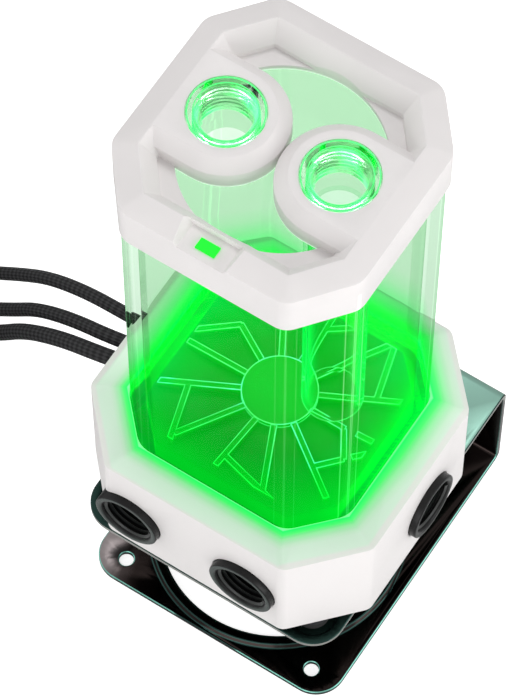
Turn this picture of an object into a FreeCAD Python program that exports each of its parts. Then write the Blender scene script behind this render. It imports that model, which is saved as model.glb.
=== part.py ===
"""Coolant pump and reservoir: a clear octagonal tank on a small pump, held by a bent sheet bracket.

Millimetres, +Z up. The origin is the centre of the four floor screws on the underside of the bracket,
and the tank's axis runs up through it. The front, with two ports, faces -Y.
"""
import FreeCAD, Part
import math
import os

import Sketcher

V = FreeCAD.Vector
doc = FreeCAD.newDocument("CoolantPumpReservoir")

# Sizes.
SIZES = [
    # bent sheet bracket
    ("sheet", 1.5), ("floor_hole_half", 26.5), ("floor_hole_r", 1.8), ("bracket_side", 7.7),
    ("plate_edge", 5.8), ("bracket_height", 34.0), ("bend_inside", 0.8), ("plate_corner", 7.5),
    ("window_edge", 3.9), ("window_lip", 2.4), ("window_lip_rise", 1.1), ("shelf_hole_in_x", 3.5),
    ("shelf_hole_in_y", 2.4),
    ("shelf_hole_r", 1.6), ("shelf_edge", 8.0), ("shelf_corner", 8.0), ("web_reach", 20.9),
    ("shelf_dish_r", 5.8), ("shelf_dish_depth", 0.5),
    # pads and screws
    ("pad_r", 4.0), ("pad_thick", 2.5), ("screw_r", 1.5), ("screw_head_r", 2.7), ("screw_head", 1.8),
    ("screw_gap", 0.1), ("foot_screw_deep", 4.0), ("small_screw_r", 1.0), ("small_head_r", 1.6),
    ("small_head", 1.2), ("small_screw_deep", 5.0),
    # skirt round the pump
    ("opening_half_x", 29.7), ("opening_half_y", 28.6), ("opening_cut_x", 10.4), ("opening_cut_y", 11.0),
    ("opening_wall", 1.6), ("skirt_reach_x", 8.4), ("skirt_reach_y", 7.4), ("skirt_more_cut_x", 3.9),
    ("skirt_more_cut_y", 4.5), ("skirt_lift", 5.5), ("shoulder_rise", 6.3), ("slope_high", 2.9),
    ("skirt_wall", 2.0), ("skirt_round", 3.0), ("notch_low", -3.6), ("notch_high", 18.6),
    ("notch_rise", 7.0),
    # pump
    ("inner_gap", 0.6), ("cover_edge", 4.2), ("cover_corner", 4.2), ("cover_thick", 2.0),
    ("housing_base", 6.3), ("can_r", 20.5), ("can_high", 14.5), ("can_wall", 1.3), ("well_r", 9.6),
    ("well_wall", 1.0), ("well_rise", 4.4), ("shaft_r", 1.5), ("shaft_rise", 4.4), ("shaft_gap", 0.05),
    ("sleeve_wall", 1.65), ("magnet_gap", 0.8), ("magnet_lift", 1.0), ("rotor_rise", 0.8),
    ("impeller_gap", 3.0), ("impeller_disc", 1.3), ("blade_height", 3.0), ("blade_thick", 1.1),
    ("blade_count", 7), ("blade_bow_r", 11.0), ("can_side", 1.9), ("stator_lift", 0.7),
    ("stator_high", 9.0), ("stator_yoke", 2.4), ("tooth_width", 3.6), ("coil_thick", 1.5),
    ("board_gap", 0.4), ("board_thick", 1.6), ("long_screw_x", 27.4), ("long_screw_y", 15.5),
    ("long_screw_up", 12.7), ("seal_ring", 1.6), ("seal_ring_down", 2.0),
    # manifold
    ("pump_room", 7.2), ("can_gap", 0.3), ("volute_r", 18.6), ("volute_roof", 1.6),
    ("passage_high", 4.0), ("eye_r", 6.0), ("gallery_r", 3.0), ("port_bore_r", 6.55), ("ring_wall", 1.75),
    ("spigot_wall", 1.05), ("port_depth", 11.0), ("port_stand", 1.8), ("port_lift", 9.0),
    ("left_port_x", -17.6), ("right_port_x", 13.5), ("side_port_y", 3.8), ("port_hole_gap", 0.2),
    # tank
    ("tank_gap", 0.25), ("tank_wall", 3.5), ("tank_round", 6.0), ("tank_high", 108.1),
    ("flange_reach", 4.4), ("flange_thick", 3.0), ("seal_width", 1.5), ("seal_thick", 1.1),
    ("flange_screw_out", 2.5), ("flange_screw_y", 9.0), ("flange_screw_x", 10.0),
    ("light_board_thick", 1.0), ("light_board_width", 3.2), ("light_size", 2.4), ("light_high", 0.8),
    # ribbed tank floor
    ("floor_gap", 0.25), ("floor_rise", 7.5), ("floor_plate", 2.0), ("floor_rim", 1.6), ("rib_rise", 2.5),
    ("rib_width", 1.3), ("hub_r", 8.7), ("hub_plate", 1.4), ("throat_wall", 1.8),
    # lid, necks and drop tube
    ("lid_gap", 0.3), ("lid_thick", 5.9), ("lid_plug", 3.0),
    ("neck_x", 13.8), ("neck_y", 0.2), ("neck_wall", 1.8), ("neck_depth", 12.0), ("neck_mouth", 0.45),
    ("drop_wall", 1.3), ("drop_bore_r", 5.7), ("drop_clear", 15.5),
    # top cover
    ("cap_high", 13.2), ("ridge_in_x", 4.7), ("ridge_in_y", 3.5), ("ridge_less_cut_x", 2.8),
    ("ridge_less_cut_y", 1.6), ("brow", 5.3), ("brow_fall", 1.6), ("slope_in", 3.7), ("slope_fall", 4.4),
    ("well_deep", 5.8), ("cover_side", 1.5), ("sight_edge", 2.9), ("tab_wall", 2.35), ("tab_bevel", 2.9),
    ("tab_bevel_fall", 2.7), ("neck_gap", 0.2), ("plaque_half", 5.6), ("plaque_deep", 2.9),
    ("plaque_in", 1.2), ("plaque_slant", 2.2), ("lens_long", 4.6), ("lens_wide", 2.6),
    ("lens_high", 0.5), ("lens_x", -0.4), ("lens_out", 3.3), ("cover_round", 5.0),
    # leads
    ("grommet_out", 3.5), ("grommet_drop", 1.9), ("grommet_rise", 3.9), ("grommet_end", 0.8),
    ("grommet_round", 1.6), ("lead_level", 40.5), ("power_lead_r", 2.0), ("speed_lead_r", 1.75),
    ("light_lead_r", 1.7), ("power_coil_r", 22.0), ("speed_coil_r", 19.0), ("light_coil_r", 18.7),
    ("coil_lift", 0.1),
    ("power_plug_wide", 24.0), ("power_plug_long", 14.0), ("power_plug_high", 6.4),
    ("speed_plug_wide", 10.2), ("speed_plug_long", 11.0), ("speed_plug_high", 5.8),
    ("light_plug_wide", 8.6), ("light_plug_long", 10.0), ("light_plug_high", 5.0), ("pin_hole", 1.2),
    ("pin_pitch", 2.54), ("pin_deep", 7.0),
]


class Size:
    """A number with the sheet formula that gives it, so that a shape can be bound to the formula."""

    def __init__(self, text, value):
        self.text = text
        self.value = float(value)

    def join(self, sign, other, value):
        return Size("(" + self.text + " " + sign + " " + as_size(other).text + ")", value)

    def __add__(self, other):
        return self.join("+", other, self.value + as_size(other).value)

    def __sub__(self, other):
        return self.join("-", other, self.value - as_size(other).value)

    def __mul__(self, other):
        return self.join("*", other, self.value * as_size(other).value)

    def __truediv__(self, other):
        return self.join("/", other, self.value / as_size(other).value)

    def __neg__(self):
        return Size("(0 - " + self.text + ")", -self.value)

    def root(self):
        return Size("sqrt(" + self.text + ")", math.sqrt(self.value))


def as_size(number):
    if isinstance(number, Size):
        return number
    return Size(repr(float(number)), number)


class Sizes:
    """Every named size, as an attribute."""


sheet = doc.addObject("Spreadsheet::Sheet", "Dims")
S = Sizes()
for row, (alias, value) in enumerate(SIZES, start=1):
    sheet.set("A%d" % row, alias)
    sheet.set("B%d" % row, str(value))
    sheet.setAlias("B%d" % row, alias)
    setattr(S, alias, Size("Dims." + alias, value))
doc.recompute()

# Bracket and skirt: each edge stands off the holes or the opening that it belongs to.
S.bracket_half_x = S.floor_hole_half + S.bracket_side
S.plate_front = S.floor_hole_half + S.plate_edge
S.plate_window_r = S.plate_front - S.window_edge
S.shelf_hole_x = S.opening_half_x - S.shelf_hole_in_x
S.shelf_hole_y = S.opening_half_y - S.shelf_hole_in_y
S.shelf_front = S.shelf_hole_y + S.shelf_edge
S.web_back = S.shelf_hole_y + S.web_reach
S.cover_half_x = S.shelf_hole_x + S.cover_edge
S.cover_half_y = S.shelf_hole_y + S.cover_edge
S.skirt_half_x = S.opening_half_x + S.skirt_reach_x
S.skirt_half_y = S.opening_half_y + S.skirt_reach_y
S.skirt_cut_x = S.opening_cut_x + S.skirt_more_cut_x
S.skirt_cut_y = S.opening_cut_y + S.skirt_more_cut_y
S.ridge_half_x = S.opening_half_x - S.ridge_in_x
S.ridge_half_y = S.opening_half_y - S.ridge_in_y
S.ridge_cut_x = S.opening_cut_x - S.ridge_less_cut_x
S.ridge_cut_y = S.opening_cut_y - S.ridge_less_cut_y

# Levels, from the shelf up to the ridge of the cap.
pad_low = S.bracket_height - S.shelf_dish_depth
cover_low = pad_low + S.pad_thick
housing_low = cover_low + S.cover_thick
S.skirt_bottom = S.bracket_height + S.skirt_lift
S.housing_split = housing_low + S.housing_base
S.well_floor = housing_low + S.well_rise
S.can_top = S.housing_split + S.can_high
S.magnet_bottom = S.well_floor + S.magnet_lift
S.rotor_top = S.can_top + S.rotor_rise
S.shaft_top = S.can_top + S.shaft_rise
S.stator_bottom = S.housing_split + S.stator_lift
S.stator_top = S.stator_bottom + S.stator_high
S.long_screw_top = S.housing_split + S.long_screw_up
S.port_level = S.housing_split + S.port_lift
S.manifold_top = S.can_top + S.pump_room
S.skirt_shoulder = S.manifold_top + S.shoulder_rise
S.skirt_top = S.skirt_shoulder + S.slope_high
S.floor_top = S.manifold_top + S.floor_rise
S.drop_bottom = S.floor_top + S.drop_clear
S.tank_top = S.manifold_top + S.tank_high
lid_low = S.tank_top
lid_top = lid_low + S.lid_thick
S.ridge_top = S.tank_top + S.cap_high
S.brow_low = S.ridge_top - S.brow_fall
S.slope_low = S.ridge_top - S.slope_fall
S.well_level = S.ridge_top - S.well_deep
S.tab_bevel_low = S.ridge_top - S.tab_bevel_fall
S.plaque_level = S.ridge_top - S.plaque_deep

# Radii that follow the bore or the shaft inside them.
S.sleeve_r = S.shaft_r + S.shaft_gap + S.sleeve_wall
S.magnet_r = S.well_r - S.magnet_gap
S.impeller_r = S.volute_r - S.impeller_gap
S.stator_r = S.can_r - S.can_side
S.board_r = S.stator_r + 0.2 - S.board_gap
S.port_ring_r = S.port_bore_r + S.ring_wall
S.port_spigot_r = S.port_bore_r + S.spigot_wall
S.neck_r = S.port_bore_r + S.neck_wall
S.drop_r = S.drop_bore_r + S.drop_wall
S.tab_r = S.neck_r + S.tab_wall
S.sight_r = S.ridge_half_x - S.sight_edge
S.plaque_back = S.ridge_half_y - S.plaque_in


# Helpers.
def bind(thing, name, number):
    """Ties one property to its formula."""
    if isinstance(number, Size):
        thing.setExpression(name, number.text)


def set_size(thing, name, number):
    setattr(thing, name, as_size(number).value)
    bind(thing, name, number)


def move(thing, x=0, y=0, z=0):
    thing.Placement.Base = V(as_size(x).value, as_size(y).value, as_size(z).value)
    bind(thing, "Placement.Base.x", x)
    bind(thing, "Placement.Base.y", y)
    bind(thing, "Placement.Base.z", z)
    return thing


def new_body(label):
    made = doc.addObject("PartDesign::Body", "Body_" + label)
    made.Label = label
    return made


def plane_of(holder, role):
    for feature in holder.Origin.OriginFeatures:
        if getattr(feature, "Role", "") == role:
            return feature
    raise ValueError("no plane " + role)


def new_sketch(holder, name, role="XY_Plane", away=0):
    made = holder.newObject("Sketcher::SketchObject", name)
    made.AttachmentSupport = [(plane_of(holder, role), "")]
    made.MapMode = "FlatFace"
    made.AttachmentOffset = FreeCAD.Placement(V(0, 0, as_size(away).value), FreeCAD.Rotation())
    bind(made, "AttachmentOffset.Base.z", away)
    return made


def fix_point(drawn, shape, end, x, y):
    """Holds one point of the sketch at x and y from the origin."""
    for kind, number in (("DistanceX", as_size(x)), ("DistanceY", as_size(y))):
        if number.value < 0:
            text = "0 - " + number.text
            made = drawn.addConstraint(Sketcher.Constraint(kind, shape, end, -1, 1, -number.value))
        else:
            text = number.text
            made = drawn.addConstraint(Sketcher.Constraint(kind, -1, 1, shape, end, number.value))
        drawn.setExpression("Constraints[%d]" % made, text)


def draw_polygon(drawn, points):
    first = drawn.GeometryCount
    flat = [(as_size(x), as_size(y)) for x, y in points]
    count = len(flat)
    for i, (x, y) in enumerate(flat):
        far_x, far_y = flat[(i + 1) % count]
        drawn.addGeometry(Part.LineSegment(V(x.value, y.value, 0), V(far_x.value, far_y.value, 0)), False)
    for i in range(count):
        drawn.addConstraint(Sketcher.Constraint("Coincident", first + i, 2, first + (i + 1) % count, 1))
    for i, (x, y) in enumerate(flat):
        fix_point(drawn, first + i, 1, x, y)


def draw_circle(drawn, x, y, radius):
    radius = as_size(radius)
    made = drawn.addGeometry(Part.Circle(V(as_size(x).value, as_size(y).value, 0), V(0, 0, 1), radius.value))
    held = drawn.addConstraint(Sketcher.Constraint("Radius", made, radius.value))
    drawn.setExpression("Constraints[%d]" % held, radius.text)
    fix_point(drawn, made, 3, x, y)


class Octagon:
    """An upright octagon: half widths in X and Y, and how much each corner is cut along X and Y."""

    def __init__(self, half_x, half_y, cut_x, cut_y):
        self.half_x, self.half_y, self.cut_x, self.cut_y = half_x, half_y, cut_x, cut_y

    def grown(self, by):
        """The octagon whose eight sides lie further out by the same distance."""
        slant = (self.cut_x * self.cut_x + self.cut_y * self.cut_y).root()
        by = as_size(by)
        cut_x = self.cut_x + by * (as_size(1) - (slant - self.cut_x) / self.cut_y)
        cut_y = self.cut_y + by * (as_size(1) - (slant - self.cut_y) / self.cut_x)
        return Octagon(self.half_x + by, self.half_y + by, cut_x, cut_y)

    def corners(self):
        x, y = self.half_x, self.half_y
        near_x, near_y = x - self.cut_x, y - self.cut_y
        return [(-near_x, -y), (near_x, -y), (x, -near_y), (x, near_y),
                (near_x, y), (-near_x, y), (-x, near_y), (-x, -near_y)]


def octagon_sketch(holder, name, shape, level):
    made = new_sketch(holder, name, "XY_Plane", level)
    draw_polygon(made, shape.corners())
    return made


def circle_sketch(holder, name, circles, level, role="XY_Plane"):
    made = new_sketch(holder, name, role, level)
    for x, y, radius in circles:
        draw_circle(made, x, y, radius)
    return made


def add_pad(holder, name, drawn, length, both=False):
    made = holder.newObject("PartDesign::Pad", name)
    made.Profile = drawn
    made.Midplane = both
    set_size(made, "Length", length)
    return made


def add_cut(holder, name, drawn, length, forward=False):
    """A pocket that has to take something away."""
    doc.recompute()
    before = holder.Shape.Volume
    made = holder.newObject("PartDesign::Pocket", name)
    made.Profile = drawn
    made.Reversed = forward
    set_size(made, "Length", length)
    doc.recompute()
    if holder.Shape.Volume > before - 0.01:
        raise ValueError(name + " cuts nothing")
    return made


def add_loft(holder, name, low, high, cut=False):
    kind = "PartDesign::SubtractiveLoft" if cut else "PartDesign::AdditiveLoft"
    made = holder.newObject(kind, name)
    made.Profile = low
    made.Sections = [high]
    made.Ruled = True
    return made


def add_turn(holder, name, drawn, cut=False):
    made = holder.newObject("PartDesign::Groove" if cut else "PartDesign::Revolution", name)
    made.Profile = drawn
    made.ReferenceAxis = (drawn, ["V_Axis"])
    made.Angle = 360
    return made


def edge_names(feature, wanted):
    return ["Edge%d" % i for i, edge in enumerate(feature.Shape.Edges, start=1) if wanted(edge)]


def is_along(edge, x, y, z):
    if len(edge.Vertexes) != 2 or not isinstance(edge.Curve, Part.Line):
        return False
    run = (edge.Vertexes[1].Point - edge.Vertexes[0].Point).normalize()
    return abs(abs(run.dot(V(x, y, z))) - 1) < 1e-6


def add_round(holder, name, base, wanted, radius, kind="PartDesign::Fillet"):
    doc.recompute()
    made = holder.newObject(kind, name)
    made.Base = (base, edge_names(base, wanted))
    set_size(made, "Radius" if kind.endswith("Fillet") else "Size", radius)
    return made


def cylinder(name, radius, height, x=0, y=0, z=0):
    made = doc.addObject("Part::Cylinder", name)
    set_size(made, "Radius", radius)
    set_size(made, "Height", height)
    return move(made, x, y, z)


def box(name, long, wide, high, x=0, y=0, z=0):
    made = doc.addObject("Part::Box", name)
    set_size(made, "Length", long)
    set_size(made, "Width", wide)
    set_size(made, "Height", high)
    return move(made, x, y, z)


def cone(name, low_r, high_r, height, x=0, y=0, z=0):
    made = doc.addObject("Part::Cone", name)
    set_size(made, "Radius1", low_r)
    set_size(made, "Radius2", high_r)
    set_size(made, "Height", height)
    return move(made, x, y, z)


def spin(thing, axis, degrees):
    thing.Placement.Rotation = FreeCAD.Rotation(axis, degrees)
    return thing


def cut_away(name, base, *tools):
    made = doc.addObject("Part::Cut", name)
    made.Base = base
    made.Tool = tools[0] if len(tools) == 1 else join(name + "_tools", *tools)
    return made


def join(name, *shapes):
    made = doc.addObject("Part::MultiFuse", name)
    made.Shapes = list(shapes)
    return made


def common(name, *shapes):
    made = doc.addObject("Part::MultiCommon", name)
    made.Shapes = list(shapes)
    return made


def group_of(name, *shapes):
    """Separate solids that share one node, such as a set of screws."""
    made = doc.addObject("Part::Compound", name)
    made.Links = list(shapes)
    return made


NODES = []


def keep(thing, label):
    thing.Label = label
    NODES.append(thing)
    return thing


def four(x, y):
    return [(x, y), (-x, y), (x, -y), (-x, -y)]


def screw(name, radius, head_r, head, x, y, under, tip):
    """A pan screw from its head's top face down or up to its tip: under is where the head seats."""
    under, tip = as_size(under), as_size(tip)
    if tip.value > under.value:
        shank = cylinder(name + "_shank", radius, tip - under, x, y, under)
        cap = cylinder(name + "_head", head_r, head, x, y, under - head)
    else:
        shank = cylinder(name + "_shank", radius, under - tip, x, y, tip)
        cap = cylinder(name + "_head", head_r, head, x, y, under)
    return join(name, shank, cap)


# Outlines that several pieces share.
skirt = Octagon(S.skirt_half_x, S.skirt_half_y, S.skirt_cut_x, S.skirt_cut_y)
opening = Octagon(S.opening_half_x, S.opening_half_y, S.opening_cut_x, S.opening_cut_y)
inside = skirt.grown(-(S.skirt_wall + S.inner_gap))
tank = opening.grown(-S.tank_gap)
bore = tank.grown(-S.tank_wall)
ridge = Octagon(S.ridge_half_x, S.ridge_half_y, S.ridge_cut_x, S.ridge_cut_y)
brow = ridge.grown(S.brow)
lid_edge = brow.grown(-(S.cover_side + S.lid_gap))

front_flat = inside.half_y
side_flat = inside.half_x
flange_line = tank.grown(S.flange_screw_out)

# Bracket: one bent sheet, open at the front.
bracket = new_body("bracket")
profile = new_sketch(bracket, "BracketProfile", "YZ_Plane")
draw_polygon(profile, [
    (-S.plate_front, 0), (S.web_back, 0), (S.web_back, S.bracket_height), (-S.shelf_front, S.bracket_height),
    (-S.shelf_front, S.bracket_height - S.sheet), (S.web_back - S.sheet, S.bracket_height - S.sheet),
    (S.web_back - S.sheet, S.sheet), (-S.plate_front, S.sheet)])
folded = add_pad(bracket, "BracketFold", profile, S.bracket_half_x * 2, both=True)
web_in = (S.web_back - S.sheet).value
inner_bend = add_round(
    bracket, "BendInside", folded,
    lambda e: is_along(e, 1, 0, 0) and abs(e.Vertexes[0].Y - web_in) < 1e-4, S.bend_inside)
outer_bend = add_round(
    bracket, "BendOutside", inner_bend,
    lambda e: is_along(e, 1, 0, 0) and abs(e.Vertexes[0].Y - S.web_back.value) < 1e-4,
    S.bend_inside + S.sheet)
plate_ends = add_round(
    bracket, "PlateCorners", outer_bend,
    lambda e: is_along(e, 0, 0, 1) and abs(e.Vertexes[0].Y + S.plate_front.value) < 1e-4
    and e.BoundBox.ZMax < S.sheet.value + 0.01, S.plate_corner)
shelf_ends = add_round(
    bracket, "ShelfCorners", plate_ends,
    lambda e: is_along(e, 0, 0, 1) and abs(e.Vertexes[0].Y + S.shelf_front.value) < 1e-4
    and e.BoundBox.ZMin > S.sheet.value + 0.01, S.shelf_corner)
doc.recompute()
lip = new_sketch(bracket, "WindowLip", "XZ_Plane")
lip_out = S.plate_window_r + S.window_lip
draw_polygon(lip, [
    (S.plate_window_r, S.sheet - 0.3), (lip_out + S.window_lip_rise * 0.6, S.sheet - 0.3),
    (lip_out + S.window_lip_rise * 0.6, S.sheet), (lip_out, S.sheet + S.window_lip_rise),
    (S.plate_window_r + 0.4, S.sheet + S.window_lip_rise),
    (S.plate_window_r, S.sheet + S.window_lip_rise * 0.6)])
add_turn(bracket, "WindowLipRing", lip)
window = circle_sketch(bracket, "PlateWindow", [(0, 0, S.plate_window_r)], S.sheet)
add_cut(bracket, "PlateWindowCut", window, S.sheet * 1.5)
floor_holes = circle_sketch(
    bracket, "FloorHoles",
    [(x, y, S.floor_hole_r) for x, y in four(S.floor_hole_half, S.floor_hole_half)], S.sheet)
add_cut(bracket, "FloorHoleCut", floor_holes, S.sheet * 1.5)
dishes = circle_sketch(
    bracket, "ShelfDishes",
    [(x, y, S.shelf_dish_r) for x, y in four(S.shelf_hole_x, S.shelf_hole_y)], S.bracket_height)
add_cut(bracket, "ShelfDishCut", dishes, S.shelf_dish_depth)
shelf_holes = circle_sketch(
    bracket, "ShelfHoles",
    [(x, y, S.shelf_hole_r) for x, y in four(S.shelf_hole_x, S.shelf_hole_y)], S.bracket_height)
add_cut(bracket, "ShelfHoleCut", shelf_holes, S.sheet * 1.2)
keep(bracket, "bracket")

# Pads and screws under the pump.
pads = []
low_screws = []
for i, (x, y) in enumerate(four(S.shelf_hole_x, S.shelf_hole_y)):
    outer = cylinder("PadOuter%d" % i, S.pad_r, S.pad_thick, x, y, pad_low)
    inner = cylinder("PadInner%d" % i, S.shelf_hole_r, S.pad_thick * 2, x, y, pad_low - S.pad_thick * 0.5)
    pads.append(cut_away("Pad%d" % i, outer, inner))
    low_screws.append(screw(
        "ShelfScrew%d" % i, S.screw_r, S.screw_head_r, S.screw_head, x, y,
        S.bracket_height - S.sheet, housing_low + S.foot_screw_deep))
keep(group_of("PumpPads", *pads), "pump_pads")
keep(group_of("BracketScrews", *low_screws), "bracket_screws")

# Pump: cover plate, housing, motor.
cover = new_body("pump_bottom_cover")
outline = new_sketch(cover, "CoverOutline", "XY_Plane", cover_low)
draw_polygon(outline, [(-S.cover_half_x, -S.cover_half_y), (S.cover_half_x, -S.cover_half_y),
                       (S.cover_half_x, S.cover_half_y), (-S.cover_half_x, S.cover_half_y)])
cover_pad = add_pad(cover, "CoverPad", outline, S.cover_thick)
add_round(cover, "CoverCorners", cover_pad, lambda e: is_along(e, 0, 0, 1), S.cover_corner)
cover_holes = circle_sketch(
    cover, "CoverHoles",
    [(x, y, S.screw_r + S.screw_gap) for x, y in four(S.shelf_hole_x, S.shelf_hole_y)], housing_low)
add_cut(cover, "CoverHoleCut", cover_holes, S.cover_thick)
keep(cover, "pump_bottom_cover")

housing = new_body("pump_housing")
base = octagon_sketch(housing, "HousingOutline", inside, housing_low)
add_pad(housing, "HousingBase", base, S.housing_split - housing_low)
can = circle_sketch(housing, "HousingCan", [(0, 0, S.can_r)], S.housing_split)
add_pad(housing, "HousingCanPad", can, S.can_top - S.housing_split)
motor_space = new_sketch(housing, "MotorSpace", "XZ_Plane")
well_out = S.well_r + S.well_wall
draw_polygon(motor_space, [
    (0, housing_low), (S.stator_r + 0.2, housing_low), (S.stator_r + 0.2, S.can_top - S.can_wall),
    (well_out, S.can_top - S.can_wall), (well_out, S.well_floor - S.well_wall),
    (0, S.well_floor - S.well_wall)])
add_turn(housing, "MotorSpaceCut", motor_space, cut=True)
rotor_well = circle_sketch(housing, "RotorWell", [(0, 0, S.well_r)], S.can_top)
add_cut(housing, "RotorWellCut", rotor_well, S.can_top - S.well_floor)
ring_groove = circle_sketch(
    housing, "RingGroove", [(0, 0, S.can_r), (0, 0, S.can_r - S.seal_ring * 0.7)],
    S.can_top - S.seal_ring_down)
add_cut(housing, "RingGrooveCut", ring_groove, S.seal_ring)
shaft_seat = circle_sketch(housing, "ShaftSeat", [(0, 0, S.shaft_r)], S.well_floor)
add_cut(housing, "ShaftSeatCut", shaft_seat, S.well_wall * 0.6)
foot_holes = circle_sketch(
    housing, "FootHoles",
    [(x, y, S.screw_r + S.screw_gap) for x, y in four(S.shelf_hole_x, S.shelf_hole_y)], housing_low)
add_cut(housing, "FootHoleCut", foot_holes, S.foot_screw_deep * 1.125, forward=True)
long_heads = circle_sketch(
    housing, "LongScrewHeads",
    [(x, y, S.screw_head_r + S.screw_gap) for x, y in four(S.long_screw_x, S.long_screw_y)], housing_low)
add_cut(housing, "LongScrewHeadCut", long_heads, S.screw_head, forward=True)
long_holes = circle_sketch(
    housing, "LongScrewHoles",
    [(x, y, S.screw_r + S.screw_gap) for x, y in four(S.long_screw_x, S.long_screw_y)],
    housing_low + S.screw_head)
add_cut(housing, "LongScrewHoleCut", long_holes, S.housing_split - housing_low, forward=True)
keep(housing, "pump_housing")

long_screws = []
for i, (x, y) in enumerate(four(S.long_screw_x, S.long_screw_y)):
    long_screws.append(screw(
        "LongScrew%d" % i, S.screw_r, S.screw_head_r, S.screw_head, x, y,
        housing_low + S.screw_head, S.long_screw_top))
keep(group_of("PumpScrews", *long_screws), "pump_screws")

board_level = housing_low + 0.3
keep(cut_away(
    "PumpBoard", cylinder("BoardDisc", S.board_r, S.board_thick, 0, 0, board_level),
    cylinder("BoardHole", 2.0, S.board_thick * 3, 0, 0, board_level - S.board_thick)), "pump_board")

core = new_body("stator_core")
core_ring = circle_sketch(
    core, "StatorYoke", [(0, 0, S.stator_r), (0, 0, S.stator_r - S.stator_yoke)], S.stator_bottom)
add_pad(core, "StatorYokePad", core_ring, S.stator_top - S.stator_bottom)
tooth_in = well_out + 0.15
tooth = new_sketch(core, "StatorTooth", "XY_Plane", S.stator_bottom)
draw_polygon(tooth, [
    (tooth_in, -S.tooth_width * 0.5), (S.stator_r - S.stator_yoke * 0.5, -S.tooth_width * 0.5),
    (S.stator_r - S.stator_yoke * 0.5, S.tooth_width * 0.5), (tooth_in, S.tooth_width * 0.5)])
tooth_pad = add_pad(core, "StatorToothPad", tooth, S.stator_top - S.stator_bottom)
teeth = core.newObject("PartDesign::PolarPattern", "StatorTeeth")
teeth.Originals = [tooth_pad]
teeth.Axis = (tooth, ["N_Axis"])
teeth.Angle = 360
teeth.Occurrences = 6
core.Tip = teeth
keep(core, "stator_core")

coils = []
for i in range(6):
    coil_long = S.stator_r - S.stator_yoke - well_out - 1.6
    coil_wide = S.tooth_width + S.coil_thick * 2 + 0.2
    outer = box("CoilOuter%d" % i, coil_long, coil_wide, S.stator_top - S.stator_bottom + 2.2,
                well_out + 1.1, -(coil_wide * 0.5), S.stator_bottom - 1.1)
    inner = box("CoilInner%d" % i, coil_long * 3, S.tooth_width + 0.2,
                S.stator_top - S.stator_bottom + 0.2, well_out - coil_long, -(S.tooth_width * 0.5 + 0.1),
                S.stator_bottom - 0.1)
    wound = cut_away("Coil%d" % i, outer, inner)
    wound.Placement = FreeCAD.Placement(V(0, 0, 0), FreeCAD.Rotation(V(0, 0, 1), 60 * i))
    coils.append(wound)
keep(group_of("StatorCoils", *coils), "stator_coils")

# Rotor, turning on a fixed shaft.
shaft_foot = S.well_floor - S.well_wall * 0.6
keep(cylinder("PumpShaft", S.shaft_r, S.shaft_top - shaft_foot, 0, 0, shaft_foot), "pump_shaft")
sleeve_bore = S.shaft_r + S.shaft_gap
keep(cut_away(
    "RotorBearing", cylinder("SleeveOuter", S.sleeve_r, S.rotor_top - S.magnet_bottom, 0, 0, S.magnet_bottom),
    cylinder("SleeveBore", sleeve_bore, S.rotor_top - S.magnet_bottom + 2, 0, 0, S.magnet_bottom - 1)),
    "rotor_bearing")
keep(cut_away(
    "RotorMagnet", cylinder("MagnetOuter", S.magnet_r, S.rotor_top - S.magnet_bottom, 0, 0, S.magnet_bottom),
    cylinder("MagnetBore", S.sleeve_r, S.rotor_top - S.magnet_bottom + 2, 0, 0, S.magnet_bottom - 1)),
    "rotor_magnet")

impeller = new_body("impeller")
disc = circle_sketch(impeller, "ImpellerDisc", [(0, 0, S.impeller_r)], S.rotor_top)
add_pad(impeller, "ImpellerDiscPad", disc, S.impeller_disc)
hub = circle_sketch(impeller, "ImpellerHub", [(0, 0, S.sleeve_r)], S.rotor_top + S.impeller_disc)
add_pad(impeller, "ImpellerHubPad", hub, S.blade_height * 0.4)
blade = new_sketch(impeller, "ImpellerBlade", "XY_Plane", S.rotor_top + S.impeller_disc)
blade_in = S.sleeve_r + 1.6
blade_out = S.impeller_r - 0.5
draw_polygon(blade, [
    (blade_in, 0), (blade_in + (blade_out - blade_in) * 0.35, -S.blade_bow_r * 0.13),
    (blade_in + (blade_out - blade_in) * 0.7, -S.blade_bow_r * 0.36),
    (blade_out * 0.8, -S.blade_bow_r * 0.75),
    (blade_out * 0.8 + S.blade_thick, -S.blade_bow_r * 0.75 + S.blade_thick * 0.5),
    (blade_in + (blade_out - blade_in) * 0.7 + S.blade_thick * 0.6, -S.blade_bow_r * 0.36 + S.blade_thick),
    (blade_in + (blade_out - blade_in) * 0.35, -S.blade_bow_r * 0.13 + S.blade_thick * 1.15),
    (blade_in, S.blade_thick)])
blade_pad = add_pad(impeller, "ImpellerBladePad", blade, S.blade_height)
blades = impeller.newObject("PartDesign::PolarPattern", "ImpellerBlades")
blades.Originals = [blade_pad]
blades.Axis = (blade, ["N_Axis"])
blades.Angle = 360
blades.Occurrences = int(S.blade_count.value)
blades.setExpression("Occurrences", S.blade_count.text)
impeller.Tip = blades
impeller_bore = circle_sketch(
    impeller, "ImpellerBore", [(0, 0, sleeve_bore)], S.rotor_top + S.impeller_disc + S.blade_height)
add_cut(impeller, "ImpellerBoreCut", impeller_bore, S.blade_height + S.impeller_disc + 1)
keep(impeller, "impeller")

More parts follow.
